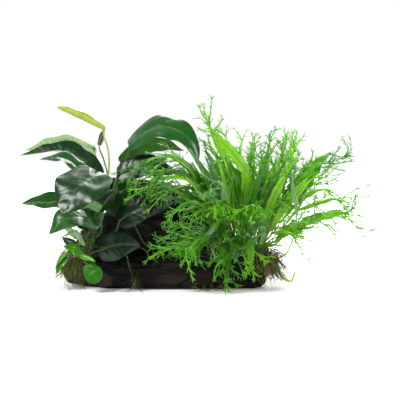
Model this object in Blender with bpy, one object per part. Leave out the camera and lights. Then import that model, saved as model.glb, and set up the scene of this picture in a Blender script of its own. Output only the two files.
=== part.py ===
"""A java fern and an anubias growing on a piece of forked driftwood.

Blender works in metres. The routes of stalks, roots and limbs are lists of points in
millimetres: X to the right, Y to the back, Z up, from a point on the lower limb's flat underside.
"""

import math
from collections import namedtuple

import bmesh
import bpy
import numpy as np

MM = 0.001
CONTACT_GAP = 0.35
PETIOLE_GAP = 1.4
PETIOLE_LIFT = 3.0

# Driftwood
BARK_RIDGES = 5
BARK_RIDGE_HEIGHT = 0.045
BARK_TWIST = 0.3
LIMB_SIDES = 16

# Anubias leaves
LEAF_STALK_RADIUS = 1.3
LEAF_THICKNESS = 1.3
LEAF_STALK_STATIONS = (0.0, 0.3, 0.62, 0.88)
LEAF_BLADE_STATIONS = (0.0, 0.07, 0.24, 0.46, 0.68, 0.86, 1.0)
LEAF_OUTLINE = (
    (0.0, 0.12),
    (0.07, 0.62),
    (0.24, 0.97),
    (0.46, 0.95),
    (0.68, 0.68),
    (0.86, 0.34),
    (1.0, 0.05),
)
LEAF_LOBE = 0.32
LEAF_CAMBER = 0.14

# Fern fronds
FROND_STALK_RADIUS = 0.9
FROND_THICKNESS = 1.1
FROND_STATIONS = (0.0, 0.12, 0.25, 0.37, 0.49, 0.6, 0.7, 0.78, 0.86, 0.94, 1.0)
STRAP_OUTLINE = (
    (0.12, 0.0),
    (0.25, 0.25),
    (0.37, 0.75),
    (0.49, 1.0),
    (0.6, 0.95),
    (0.7, 0.65),
    (0.78, 0.3),
)
CREST_OUTLINE = (
    (0.78, 0.3),
    (0.86, 0.75),
    (0.94, 1.0),
    (1.0, 0.6),
)
CREST_START = 0.78
WIDEST_STATION = 0.6

FINE_STEPS = 24

WOOD_BROWN = (0.030, 0.018, 0.014)
ROOT_BROWN = (0.060, 0.030, 0.014)
ROOT_PALE = (0.20, 0.17, 0.07)
RHIZOME_GREEN = (0.11, 0.17, 0.05)
LEAF_GREENS = {
    "dark": (0.020, 0.075, 0.020),
    "pale": (0.130, 0.240, 0.090),
    "young": (0.330, 0.420, 0.060),
}
FERN_GREENS = {
    "bright": (0.130, 0.420, 0.020),
    "deep": (0.030, 0.180, 0.018),
    "lime": (0.300, 0.560, 0.035),
}

# Each limb's stations: centre, half-depth and half-height, and how far its end is cut askew
LOWER_LIMB = (
    ((-81, -8, 14), 21, 18, 1.44),
    ((-58, -8, 14), 22, 20, 0.95),
    ((-36, -8, 14), 22, 19.5, 0.35),
    ((-14, -9, 14), 21.5, 20, 0.0),
    ((8, -8, 14), 22.5, 20, 0.0),
    ((30, -8, 14), 21.5, 20.5, 0.0),
    ((52, -8, 14), 22, 20, 0.0),
    ((70, -7, 14), 21, 20, 0.0),
    ((85, -7, 14), 20, 19, 0.1),
    ((92, -7, 14), 14, 13, 0.25),
)
MIDDLE_LIMB = (
    ((-88, 22, 31), 11, 22, 0.9),
    ((-68, 19, 35), 18, 33, 0.5),
    ((-44, 16, 37), 22, 38, 0.15),
    ((-18, 17, 36), 23, 38, 0.0),
    ((6, 15, 36), 21, 37, 0.0),
    ((28, 17, 30), 17, 29, 0.0),
    ((42, 15, 26), 12, 20, 0.2),
    ((50, 14, 24), 6, 11, 0.3),
)
BACK_LIMB = (
    ((40, 18, 50), 9, 9, -0.4),
    ((27, 21, 64), 13, 14, -0.3),
    ((9, 25, 78), 15.5, 16.5, 0.0),
    ((-14, 28, 86), 15.5, 16, 0.0),
    ((-36, 28, 90), 14, 14.5, 0.0),
    ((-54, 26, 93), 11.5, 12, 0.1),
    ((-67, 24, 97), 8, 8.5, 0.3),
    ((-75, 23, 100), 4, 4.5, 0.5),
)

# Creeping stems: their route and the radius at each point
RHIZOMES = {
    "anubias_rhizome": (
        ((-80, -18, 34), (-77.5, -17, 48), (-72, -15.5, 66), (-66, -14.5, 84), (-62, -14, 96),
         (-60, -14, 104)),
        (3.6, 4.5, 4.6, 4.5, 4.0, 1.8),
    ),
    "anubias_side_shoot": (
        ((-86.5, -20.5, 38), (-91, -22.5, 39), (-96, -24.5, 38), (-101, -26, 35)),
        (2.2, 2.9, 2.7, 1.6),
    ),
    "fern_rhizome_front": (
        ((37, -22, 36), (52, -22.5, 37), (68, -22, 37), (84, -21, 36.5), (98, -19.5, 33), (107, -20, 22),
         (114, -20, 10), (121, -20, 7.5), (125, -20, 16)),
        (3.0, 4.0, 4.2, 4.2, 4.0, 3.4, 2.9, 2.6, 1.3),
    ),
    "fern_rhizome_back": (
        ((53, 4, 38), (66, 4, 38.5), (82, 4, 38), (98, 4, 36.5)),
        (2.8, 3.9, 4.0, 3.2),
    ),
}

# Each leaf leaves a creeping stem at a share of its length; width is half the blade's, fold in degrees
Leaf = namedtuple("Leaf", "stem place width fold face tone stalk blade")
LEAVES = (
    Leaf("main", 0.86, 18, 4, (0, 0.45, 0.9), "pale",
         [(-68, -2, 108), (-74, 10, 126)],
         [(-80, 22, 140), (-108, 26, 148), (-146, 24, 136)]),
    Leaf("main", 0.78, 17, 35, (0, -0.4, 0.9), "dark",
         [(-70, -14, 101)],
         [(-70, -12, 115), (-100, 0, 138), (-148, -4, 133)]),
    Leaf("main", 0.66, 11, 15, (0, -0.4, 0.9), "dark",
         [(-76, -20, 88), (-78, -27, 101)],
         [(-79, -30, 111), (-102, -30, 130), (-126, -30, 129)]),
    Leaf("main", 0.56, 28, 5, (-0.07, -0.7, 0.7), "dark",
         [(-74, -30, 86), (-76, -43, 104)],
         [(-77, -50, 116), (-90, -68, 105), (-103, -80, 82)]),
    Leaf("main", 0.46, 13, 15, (0, -0.55, 0.8), "dark",
         [(-82, -19, 74), (-90, -22, 84)],
         [(-100, -26, 91), (-128, -33, 91), (-146, -35, 88)]),
    Leaf("main", 0.35, 17, 8, (-0.2, -0.6, 0.75), "dark",
         [(-77, -28, 59), (-77, -34, 64)],
         [(-78, -40, 70), (-98, -50, 75), (-118, -58, 59)]),
    Leaf("main", 0.27, 13, 10, (-0.5, -0.4, 0.75), "dark",
         [(-68, -28, 56), (-66, -36, 68)],
         [(-67, -41, 82), (-60, -37, 92), (-50, -33, 101)]),
    Leaf("main", 0.95, 5, 12, (1, 0.1, 0.3), "dark",
         [(-62, -2, 110), (-66, 1, 126)],
         [(-70, -2, 143), (-65, -1, 158)]),
    Leaf("main", 0.93, 9, 62, (0, -0.5, 0.85), "young",
         [(-60, -23, 113), (-60, -23, 138), (-64, -18, 152)],
         [(-68, -12, 160), (-89, -4, 170), (-112, 0, 183)]),
    Leaf("main", 0.87, 17, 6, (0.1, -0.65, 0.75), "dark",
         [(-54, -25, 103), (-47, -28, 123)],
         [(-36, -21, 141), (-7, -25, 162), (15, -30, 151), (30, -34, 127)]),
    Leaf("main", 0.9, 11, 0, (0, 0.5, 0.85), "pale",
         [(-54, -8, 106), (-50, 0, 120)],
         [(-47, 4, 130), (-22, 8, 146), (-5, 8, 147), (14, 6, 139)]),
    Leaf("main", 0.8, 11, 10, (0, -0.6, 0.8), "dark",
         [(-55, -13, 97), (-51, -13, 111)],
         [(-49, -15, 123), (-28, -18, 134), (5, -21, 120)]),
    Leaf("main", 0.12, 12, 6, (0, -0.8, 0.6), "dark",
         [(-68, -26, 44), (-60, -33, 53), (-51, -39, 61)],
         [(-47, -42, 71), (-25, -44, 84), (2, -39, 84)]),
    Leaf("main", 0.03, 14, 6, (0, -0.85, 0.5), "dark",
         [(-74, -32, 38)],
         [(-65, -45, 42), (-47, -52, 48), (-28, -51, 47)]),
    Leaf("side", 0.4, 6, 8, (0, -0.7, 0.7), "dark",
         [(-91, -30, 38)],
         [(-91, -37, 41), (-97, -40, 48), (-104, -42, 54)]),
    Leaf("side", 0.1, 10, 4, (0, -0.95, 0.3), "dark",
         [(-86, -30, 33), (-84, -40, 32)],
         [(-79, -47, 30), (-73, -50, 22), (-67, -52, 12)]),
    Leaf("side", 0.86, 5, 8, (-0.5, -0.6, 0.5), "dark",
         [(-99.5, -30.5, 35)],
         [(-101, -34, 33), (-107, -37, 26), (-111, -38, 17)]),
    Leaf("side", 0.3, 7, 4, (0, 0.5, 0.8), "pale",
         [(-90, -22, 45)],
         [(-89, -25, 52), (-97, -28, 59), (-106, -30, 64)]),
)

# Each frond leaves a creeping stem at an X place; strap and crest are half-widths
Frond = namedtuple("Frond", "stem place strap crest face tone route")
FRONDS = (
    Frond("front", 41, 3.5, 8, (0, -0.5, 0.85), "bright",
          [(44, -32, 54), (38, -52, 80), (26, -58, 92), (13, -60, 90), (3, -60, 80), (-8, -60, 67)]),
    Frond("front", 44, 3.5, 8, (0, -0.7, 0.7), "bright",
          [(43, -18, 56), (35, -16, 89), (18, -16, 100), (0, -17, 100), (-15, -18, 95), (-33, -19, 86)]),
    Frond("front", 47.5, 4, 9, (0, -0.8, 0.6), "bright",
          [(47, -30, 60), (30, -44, 99), (10, -48, 118), (-7, -50, 118), (-22, -50, 111), (-50, -50, 98)]),
    Frond("front", 51, 4.5, 10, (0, -0.8, 0.6), "bright",
          [(49, -26, 66), (31, -36, 104), (17, -42, 124), (1, -44, 133), (-14, -44, 131),
           (-31, -42, 119), (-56, -40, 111)]),
    Frond("front", 54.5, 3, 8, (0, -0.7, 0.7), "bright",
          [(50, -33, 47), (43, -42, 54), (34, -48, 49), (22, -51, 42), (10, -53, 38), (-10, -55, 40)]),
    Frond("front", 58, 4, 10, (0, -0.6, 0.8), "bright",
          [(55, -33, 56), (52, -44, 70), (46, -54, 68), (36, -60, 57), (24, -64, 50), (4, -67, 47),
           (-22, -69, 54)]),
    Frond("front", 61.5, 5, 7, (0, -0.9, 0.4), "deep",
          [(63, -20, 60), (66, -21, 92), (56, -22, 109), (46, -22, 122), (38, -22, 133), (28, -22, 147)]),
    Frond("front", 65, 4.5, 9, (0, 0.3, 0.9), "bright",
          [(63, -34, 60), (57, -48, 84), (51, -60, 92), (45, -72, 90), (40, -86, 80)]),
    Frond("front", 68.5, 6.5, 9, (0, -0.9, 0.4), "deep",
          [(70, -16, 60), (72, -12, 90), (75, -10, 114), (62, -9, 134), (46, -8, 151), (36, -7, 165),
           (30, -6, 187)]),
    Frond("front", 72, 5, 11, (0, -0.8, 0.6), "deep",
          [(71, -33, 48), (67, -42, 55), (61, -48, 45), (57, -51, 32), (56, -53, 20), (56, -56, 3)]),
    Frond("front", 76, 4.5, 10, (0, 0.3, 0.9), "bright",
          [(77, -32, 58), (78, -46, 80), (80, -60, 88), (82, -74, 85), (84, -89, 75)]),
    Frond("front", 80, 4, 8, (0, -0.8, 0.6), "bright",
          [(80, -33, 46), (79, -43, 54), (79, -50, 44), (79, -54, 30), (80, -58, 7)]),
    Frond("front", 83, 4.5, 10, (0, 0.3, 0.9), "bright",
          [(88, -34, 62), (98, -48, 82), (108, -60, 88), (117, -70, 84), (126, -80, 74)]),
    Frond("front", 86.5, 3.5, 8, (0, -0.5, 0.85), "bright",
          [(93, -34, 49), (103, -46, 59), (114, -54, 60), (126, -60, 52), (140, -64, 41)]),
    Frond("front", 90, 3.5, 8, (0, -0.7, 0.7), "bright",
          [(99, -24, 52), (113, -27, 72), (129, -30, 89), (146, -33, 99), (160, -35, 99), (181, -37, 79)]),
    Frond("front", 93.5, 6, 10, (0, -0.8, 0.6), "deep",
          [(105, -22, 45), (117, -24, 58), (129, -26, 65), (149, -28, 72), (167, -29, 76),
           (202, -30, 61)]),
    Frond("front", 97, 3.5, 8, (0, -0.9, 0.3), "lime",
          [(105, -30, 32), (113, -35, 36), (121, -40, 54), (124, -44, 79), (119, -47, 111),
           (121, -47, 126), (118, -46, 147)]),
    Frond("back", 56, 5, 9, (0, 0.4, 0.8), "deep",
          [(57, 13, 62), (54, 22, 92), (50, 32, 118), (44, 40, 134), (36, 48, 146)]),
    Frond("back", 61, 5, 8, (0, -0.9, 0.4), "lime",
          [(65, 1, 60), (66, 4, 95), (57, 6, 124), (44, 7, 146), (33, 8, 170)]),
    Frond("back", 68, 5, 9, (0, 0.4, 0.8), "deep",
          [(72, 12, 62), (77, 22, 98), (82, 32, 124), (86, 42, 136), (90, 54, 142)]),
    Frond("back", 75, 5.5, 12, (0, -0.9, 0.4), "deep",
          [(82, 1, 60), (90, 2, 95), (96, 4, 125), (99, 5, 143), (99, 6, 163)]),
    Frond("back", 80, 4.5, 9, (0, 0.5, 0.8), "bright",
          [(86, 14, 60), (96, 28, 92), (106, 40, 114), (114, 52, 126), (122, 66, 128)]),
    Frond("back", 84, 4.5, 9, (0, 0.3, 0.9), "bright",
          [(95, 17, 54), (112, 30, 80), (128, 44, 98), (142, 56, 104), (156, 69, 99)]),
    Frond("back", 87.5, 5, 11, (0, -0.9, 0.4), "bright",
          [(93, -8, 58), (107, -13, 98), (119, -16, 124), (122, -17, 141), (124, -17, 168)]),
    Frond("back", 90.5, 4, 11, (0, -0.4, 0.9), "lime",
          [(104, 8, 58), (120, 13, 80), (138, 16, 97), (152, 18, 106), (170, 20, 120)]),
    Frond("back", 93.5, 7, 12, (0, -0.8, 0.6), "deep",
          [(102, -2, 58), (114, -5, 76), (130, -6, 97), (146, -6, 124), (157, -6, 139), (190, -6, 128)]),
    Frond("back", 96, 3, 7, (0, -0.7, 0.7), "bright",
          [(107, -8, 50), (127, -14, 77), (142, -15, 82), (165, -16, 88), (178, -16, 84), (208, -16, 78)]),
    Frond("back", 98, 3.5, 9, (0, -0.4, 0.9), "bright",
          [(106, 9, 42), (112, 14, 46), (121, 18, 51), (134, 22, 62), (147, 25, 71)]),
)

# Aerial roots of the anubias that grope down over the front of the wood
AERIAL_ROOTS = (
    [(-37, -6, 67), (-29, -11.5, 50), (-24, -13.5, 43.5), (-15, -17, 41), (-7.5, -23, 36), (3, -29.5, 29)],
    [(-30, -15.5, 41), (-24, -21, 38), (-20, -26, 33), (-11, -30.5, 27)],
    [(-60, -21, 42), (-52, -22, 40), (-43, -29, 34), (-39, -32.5, 23), (-35, -33, 12)],
)
AERIAL_ROOT_RADIUS = 0.9

# Tufts of fine roots, each as one solid that reaches their tips: centre and half-sizes
ROOT_TUFTS = {
    "left_root_tuft": ((-100, -10, 19), (12, 9.5, 18.5), ROOT_PALE),
    "front_root_tuft": ((-29, -45, 7), (16, 12.5, 6.5), ROOT_PALE),
    "right_root_tuft": ((108, 1, 18.5), (9, 12, 18), ROOT_BROWN),
}


def clear_scene():
    """Remove every object that the new scene starts with."""
    for obj in list(bpy.data.objects):
        bpy.data.objects.remove(obj, do_unlink=True)


def new_collection(name, hidden=False):
    """Return a new collection of the scene."""
    collection = bpy.data.collections.new(name)
    collection.hide_render = hidden
    bpy.context.scene.collection.children.link(collection)
    return collection


def finish(obj, colour, roughness):
    """Give a piece its own surface."""
    material = bpy.data.materials.new(f"{obj.name}_surface")
    material.use_nodes = True
    shader = material.node_tree.nodes["Principled BSDF"]
    shader.inputs["Base Color"].default_value = (*colour, 1.0)
    shader.inputs["Roughness"].default_value = roughness
    shader.inputs["Metallic"].default_value = 0.0
    obj.data.materials.clear()
    obj.data.materials.append(material)


def unit(vector):
    """Return the vector at length 1."""
    return vector / np.linalg.norm(vector)


def smooth_route(points, shares):
    """Return the points at the given shares of length along a smooth curve through `points`."""
    points = np.array(points, float)
    steps = np.diff(points, axis=0)
    chords = np.linalg.norm(steps, axis=1)[:, None]
    slopes = steps / chords
    inner = (slopes[:-1] * chords[1:] + slopes[1:] * chords[:-1]) / (chords[:-1] + chords[1:])
    slopes = np.vstack([slopes[:1], inner, slopes[-1:]])
    t = np.linspace(0.0, 1.0, FINE_STEPS, endpoint=False)[:, None]
    fine = []
    for i, chord in enumerate(chords):
        fine.append(
            (2 * t**3 - 3 * t**2 + 1) * points[i]
            + (t**3 - 2 * t**2 + t) * chord * slopes[i]
            + (3 * t**2 - 2 * t**3) * points[i + 1]
            + (t**3 - t**2) * chord * slopes[i + 1]
        )
    fine = np.vstack([*fine, points[-1:]])
    lengths = np.concatenate([[0.0], np.cumsum(np.linalg.norm(np.diff(fine, axis=0), axis=1))])
    wanted = np.asarray(shares) * lengths[-1]
    return np.column_stack([np.interp(wanted, lengths, fine[:, axis]) for axis in range(3)])


def frames(centres, face, anchor):
    """Return side and up vectors along a route, square to it and free of twist from the anchor on."""
    along = np.gradient(centres, axis=0)
    along /= np.linalg.norm(along, axis=1)[:, None]
    sides = np.zeros_like(centres)
    sides[anchor] = unit(np.cross(face, along[anchor]))
    for i in range(anchor + 1, len(centres)):
        sides[i] = unit(sides[i - 1] - along[i] * np.dot(sides[i - 1], along[i]))
    for i in range(anchor - 1, -1, -1):
        sides[i] = unit(sides[i + 1] - along[i] * np.dot(sides[i + 1], along[i]))
    return sides, np.cross(along, sides), along


def loft(name, rings, collection, smooth=True):
    """Join a row of rings of points, in millimetres, into one closed solid."""
    mesh = bpy.data.meshes.new(name)
    shape = bmesh.new()
    rows = [[shape.verts.new(point * MM) for point in ring] for ring in rings]
    count = len(rows[0])
    for low, high in zip(rows, rows[1:]):
        for i in range(count):
            j = (i + 1) % count
            shape.faces.new((low[i], low[j], high[j], high[i]))
    shape.faces.new(rows[0][::-1])
    shape.faces.new(rows[-1])
    bmesh.ops.recalc_face_normals(shape, faces=shape.faces)
    bmesh.ops.triangulate(shape, faces=shape.faces, quad_method="FIXED")
    shape.to_mesh(mesh)
    shape.free()
    obj = bpy.data.objects.new(name, mesh)
    collection.objects.link(obj)
    if smooth:
        mesh.shade_smooth()
    return obj


def limb_rings(stations, grown=0.0):
    """Return a limb's rings: ridged ovals whose underside is flat where they reach the floor."""
    rings = []
    for order, (centre, depth, height, askew) in enumerate(stations):
        ring = []
        for i in range(LIMB_SIDES):
            angle = 2 * math.pi * (i + 0.5) / LIMB_SIDES
            ridge = 1 + BARK_RIDGE_HEIGHT * math.sin(BARK_RIDGES * angle + BARK_TWIST * order)
            y = (depth * ridge + grown) * math.cos(angle)
            z = (height * ridge + grown) * math.sin(angle)
            x = centre[0] - askew * y
            ring.append(np.array((x, centre[1] + y, max(0.0, centre[2] + z))))
        rings.append(ring)
    if grown:
        for ring, outwards in ((rings[0], -grown), (rings[-1], grown)):
            for point in ring:
                point[0] += outwards
    return rings


def cut_away(obj, cutter):
    """Cut the cutter's shape out of a piece."""
    cut = obj.modifiers.new("cut_" + cutter.name, "BOOLEAN")
    cut.operation = "DIFFERENCE"
    cut.solver = "EXACT"
    cut.object = cutter
    cutter.hide_render = True
    cutter.display_type = "WIRE"


def sunk(rings):
    """Return the rings of a cutter that goes on below the floor."""
    return [[point - (0, 0, 5) if point[2] <= 0 else point for point in ring] for ring in rings]


def build_driftwood(parts, cutters):
    """Build the three limbs, each cut clear of the one below it."""
    limbs = (
        ("driftwood_lower_limb", LOWER_LIMB),
        ("driftwood_middle_limb", MIDDLE_LIMB),
        ("driftwood_back_limb", BACK_LIMB),
    )
    below = []
    for name, stations in limbs:
        limb = loft(name, limb_rings(stations), parts)
        for cutter in below:
            cut_away(limb, cutter)
        finish(limb, WOOD_BROWN, 0.45)
        below.append(loft(name + "_space", sunk(limb_rings(stations, CONTACT_GAP)), cutters))


def tube(name, points, radii, sides_level, collection):
    """Build a round stem or root along a smooth curve through its points."""
    curve = bpy.data.curves.new(name, "CURVE")
    curve.dimensions = "3D"
    curve.bevel_depth = MM
    curve.bevel_resolution = sides_level
    curve.use_fill_caps = True
    spline = curve.splines.new("POLY")
    shares = np.linspace(0, 1, 2 * len(points) - 1)
    route = smooth_route(points, shares)
    thickness = np.interp(shares, np.linspace(0, 1, len(radii)), radii)
    spline.points.add(len(route) - 1)
    for point, place, radius in zip(spline.points, route, thickness):
        point.co = (*(place * MM), 1.0)
        point.radius = radius
    obj = bpy.data.objects.new(name, curve)
    collection.objects.link(obj)
    return obj


def petiole_start(stem, place, first):
    """Return the two points where a stalk leaves a creeping stem, square to it and just off its skin."""
    points, radii = RHIZOMES[stem]
    route = smooth_route(points, np.linspace(0, 1, 200))
    if place > 1.0:
        share = np.argmax(route[:, 0] >= place) / 199
    else:
        share = place
    centre, ahead = smooth_route(points, (share, min(1.0, share + 0.01)))
    if share == 1.0:
        centre, ahead = smooth_route(points, (0.99, 1.0))
    axis = unit(ahead - centre)
    away = np.array(first, float) - centre
    away = unit(away - axis * np.dot(away, axis))
    radius = np.interp(share, np.linspace(0, 1, len(radii)), radii)
    start = centre + away * (radius + PETIOLE_GAP)
    return start, start + away * PETIOLE_LIFT


def stalk_ring(centre, side, up, radius, count):
    """Return a round section of a stalk."""
    angles = [2 * math.pi * i / count for i in range(count)]
    return [centre + radius * (math.cos(a) * side + math.sin(a) * up) for a in angles]


def blade_ring(centre, side, up, along, width, fold, lobe):
    """Return a section of a leaf blade: thick at the midrib, sharp at its edges."""
    shares = (1.0, 0.5, 0.0, -0.5, -1.0, -0.5, 0.0, 0.5)
    skins = (0.0, 0.4, 0.5, 0.4, 0.0, -0.4, -0.5, -0.4)
    ring = []
    for share, skin in zip(shares, skins):
        rise = abs(share) * math.sin(fold) - LEAF_CAMBER * share * share
        point = centre + side * width * share * math.cos(fold)
        point = point + up * (width * rise + skin * LEAF_THICKNESS)
        ring.append(point - along * lobe * share * share)
    return ring


def build_leaf(name, leaf, parts):
    """Build an anubias leaf: its stalk and its blade as one body."""
    rhizome = "anubias_rhizome" if leaf.stem == "main" else "anubias_side_shoot"
    start = petiole_start(rhizome, leaf.place, leaf.stalk[0])
    stalk_route = smooth_route([*start, *leaf.stalk, leaf.blade[0]], LEAF_STALK_STATIONS)
    blade_route = smooth_route(leaf.blade, LEAF_BLADE_STATIONS)
    centres = np.vstack([stalk_route, blade_route])
    heel = len(stalk_route)
    sides, ups, along = frames(centres, np.array(leaf.face, float), heel + 3)
    rings = []
    for i in range(heel + 1):
        rings.append(stalk_ring(centres[i], sides[i], ups[i], LEAF_STALK_RADIUS, 8))
    for i, share in enumerate(LEAF_BLADE_STATIONS[1:], heel + 1):
        half = leaf.width * np.interp(share, *zip(*LEAF_OUTLINE))
        lobe = LEAF_LOBE * leaf.width if i == heel + 1 else 0.0
        fold = math.radians(leaf.fold)
        rings.append(blade_ring(centres[i], sides[i], ups[i], along[i], half, fold, lobe))
    obj = loft(name, rings, parts)
    finish(obj, LEAF_GREENS[leaf.tone], 0.3)


def frond_ring(centre, side, up, half_width, half_thickness):
    """Return a six-sided section of a frond."""
    shares = ((1.0, 0.0), (0.5, 1.0), (-0.5, 1.0), (-1.0, 0.0), (-0.5, -1.0), (0.5, -1.0))
    return [centre + side * half_width * across + up * half_thickness * high for across, high in shares]


def build_frond(name, frond, parts):
    """Build a fern frond: its thin stalk, its strap and the outline of its crest as one body."""
    start = petiole_start(f"fern_rhizome_{frond.stem}", frond.place, frond.route[0])
    centres = smooth_route([*start, *frond.route], FROND_STATIONS)
    sides, ups, _ = frames(centres, np.array(frond.face, float), FROND_STATIONS.index(WIDEST_STATION))
    rings = []
    for i, share in enumerate(FROND_STATIONS):
        strap_width = frond.strap * np.interp(share, *zip(*STRAP_OUTLINE))
        crest_width = frond.crest * np.interp(share, *zip(*CREST_OUTLINE))
        half_width = max(FROND_STALK_RADIUS, crest_width if share > CREST_START else strap_width)
        flat = min(1.0, (half_width - FROND_STALK_RADIUS) / 2)
        half_thickness = (1 - flat) * 0.87 * FROND_STALK_RADIUS + flat * FROND_THICKNESS / 2
        rings.append(frond_ring(centres[i], sides[i], ups[i], half_width, half_thickness))
    obj = loft(name, rings, parts)
    finish(obj, FERN_GREENS[frond.tone], 0.45)


def build_tuft(name, centre, half_sizes, colour, parts):
    """Build the outline of a tuft of fine roots, with its underside flat on the floor."""
    mesh = bpy.data.meshes.new(name)
    shape = bmesh.new()
    bmesh.ops.create_icosphere(shape, subdivisions=2, radius=1.0)
    for vertex in shape.verts:
        point = np.array(centre) + np.array(vertex.co) * half_sizes
        point[2] = max(CONTACT_GAP, point[2])
        vertex.co = point * MM
    shape.to_mesh(mesh)
    shape.free()
    obj = bpy.data.objects.new(name, mesh)
    parts.objects.link(obj)
    finish(obj, colour, 0.7)


def main():
    clear_scene()
    parts = new_collection("java_fern_on_driftwood")
    cutters = new_collection("cutters", hidden=True)
    build_driftwood(parts, cutters)
    for name, (points, radii) in RHIZOMES.items():
        finish(tube(name, points, radii, 2, parts), RHIZOME_GREEN, 0.5)
    for number, row in enumerate(LEAVES, 1):
        build_leaf(f"anubias_leaf_{number:02d}", row, parts)
    for number, row in enumerate(FRONDS, 1):
        build_frond(f"fern_frond_{number:02d}", row, parts)
    for number, points in enumerate(AERIAL_ROOTS, 1):
        radii = [AERIAL_ROOT_RADIUS] * (len(points) - 1) + [AERIAL_ROOT_RADIUS / 2]
        finish(tube(f"aerial_root_{number}", points, radii, 1, parts), ROOT_PALE, 0.6)
    for name, (centre, half_sizes, colour) in ROOT_TUFTS.items():
        build_tuft(name, centre, half_sizes, colour, parts)


main()
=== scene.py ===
# %% [markdown]
# # A java fern and an anubias on driftwood
#
# Two water plants share one forked piece of bogwood. An anubias climbs its left end with broad leathery
# leaves, and a crested java fern covers its right half with wavy straps that end in lace.
# The solid model already fixes where every limb, leaf and frond lies. This lesson builds the fine
# shapes along the same routes and gives each one its finish.

import math
from collections import namedtuple

import bpy
import numpy as np
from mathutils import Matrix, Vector, noise


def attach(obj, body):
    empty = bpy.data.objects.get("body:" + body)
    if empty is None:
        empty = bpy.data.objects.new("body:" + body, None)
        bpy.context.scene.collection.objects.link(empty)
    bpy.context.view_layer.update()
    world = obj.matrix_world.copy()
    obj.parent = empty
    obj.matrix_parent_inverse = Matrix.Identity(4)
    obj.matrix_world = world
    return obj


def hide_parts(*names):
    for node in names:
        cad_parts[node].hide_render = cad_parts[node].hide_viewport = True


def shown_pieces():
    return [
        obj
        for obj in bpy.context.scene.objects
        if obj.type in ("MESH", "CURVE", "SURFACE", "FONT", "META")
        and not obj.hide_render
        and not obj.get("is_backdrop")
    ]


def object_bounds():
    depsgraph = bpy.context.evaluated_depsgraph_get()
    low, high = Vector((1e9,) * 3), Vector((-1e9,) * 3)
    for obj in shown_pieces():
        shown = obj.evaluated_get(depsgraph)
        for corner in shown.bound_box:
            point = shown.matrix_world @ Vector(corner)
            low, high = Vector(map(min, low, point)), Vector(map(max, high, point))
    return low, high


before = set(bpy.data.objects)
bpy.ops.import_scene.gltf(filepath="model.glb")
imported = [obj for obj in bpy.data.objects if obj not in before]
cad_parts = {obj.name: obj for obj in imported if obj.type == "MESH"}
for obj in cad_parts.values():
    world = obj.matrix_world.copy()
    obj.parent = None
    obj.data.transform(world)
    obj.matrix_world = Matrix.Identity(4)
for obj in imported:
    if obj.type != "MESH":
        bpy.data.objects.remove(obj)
solid_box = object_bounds()
print("solid model, metres:", [round(high - low, 3) for low, high in zip(*solid_box)])

# %% [markdown]
# ## Camera
#
# The picture was taken with a long lens from just above the table, so upright things stay upright and
# the far side is hardly smaller than the near one. A camera without perspective would be simpler, but
# it would lose the little there is. A long lens far away gives the same flat view.

# %% Place the camera
MM = 0.001
AIM = np.array((0.030, 0.0, 0.086))
CAMERA_DISTANCE = 1.4
CAMERA_ELEVATION = math.radians(6)
LENS = 126
SENSOR = 36

camera = bpy.data.objects.new("camera", bpy.data.cameras.new("camera"))
camera.data.lens = LENS
camera.data.sensor_width = SENSOR
away = np.array((0, -math.cos(CAMERA_ELEVATION), math.sin(CAMERA_ELEVATION)))
camera.location = AIM + away * CAMERA_DISTANCE
camera.rotation_euler = (math.pi / 2 - CAMERA_ELEVATION, 0, 0)
bpy.context.scene.collection.objects.link(camera)
bpy.context.scene.camera = camera
print("camera at", [round(place, 3) for place in camera.location])

# %% [markdown]
# ## Light
#
# Wet leaves show what they mirror, and small lamps would leave hard white dots on them. These are large
# and soft: one high on the left that lays a pale sheen on the leaves, one weaker on the right, and one
# behind that shines through the thin fronds.
# The surroundings give a dim light from the front and a strong one from the sheet behind the plants,
# and only the camera sees them plain white.

# %% Hang the lamps
Lamp = namedtuple("Lamp", "name place size power")
LAMPS = (
    Lamp("left_lamp", (-0.8, -0.75, 1.2), 0.6, 32),
    Lamp("right_lamp", (1.1, -0.8, 0.7), 0.5, 13),
    Lamp("back_lamp", (0.2, 1.0, 1.1), 0.9, 30),
)
for lamp in LAMPS:
    light = bpy.data.lights.new(lamp.name, "AREA")
    light.size = lamp.size
    light.energy = lamp.power
    holder = bpy.data.objects.new(lamp.name, light)
    holder.location = lamp.place
    towards = Vector(AIM - np.array(lamp.place))
    holder.rotation_euler = towards.to_track_quat("-Z", "Y").to_euler()
    bpy.context.scene.collection.objects.link(holder)
print("lamps:", ", ".join(f"{lamp.name} {lamp.power} W" for lamp in LAMPS))

# %% Light the surroundings
DIM = 0.12
SHEET_BEHIND = 1.7
BEHIND = {"From Min": 0.2, "From Max": 0.9, "To Min": DIM, "To Max": SHEET_BEHIND}
world = bpy.data.worlds.new("surroundings")
world.use_nodes = True
bpy.context.scene.world = world
bpy.context.scene.view_settings.view_transform = "Standard"
sky = world.node_tree
backdrop = sky.nodes["Background"]
backdrop.inputs["Color"].default_value = (1, 1, 1, 1)
direction = sky.nodes.new("ShaderNodeTexCoord")
parts = sky.nodes.new("ShaderNodeSeparateXYZ")
from_behind = sky.nodes.new("ShaderNodeMapRange")
seen = sky.nodes.new("ShaderNodeLightPath")
strength = sky.nodes.new("ShaderNodeMapRange")
sky.links.new(direction.outputs["Generated"], parts.inputs["Vector"])
sky.links.new(parts.outputs["Y"], from_behind.inputs["Value"])
for name, value in BEHIND.items():
    from_behind.inputs[name].default_value = value
sky.links.new(seen.outputs["Is Camera Ray"], strength.inputs["Value"])
sky.links.new(from_behind.outputs["Result"], strength.inputs["To Min"])
sky.links.new(strength.outputs["Result"], backdrop.inputs["Strength"])
print("surroundings give", DIM, "in front and", SHEET_BEHIND, "behind, and look", 1.0)

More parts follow.
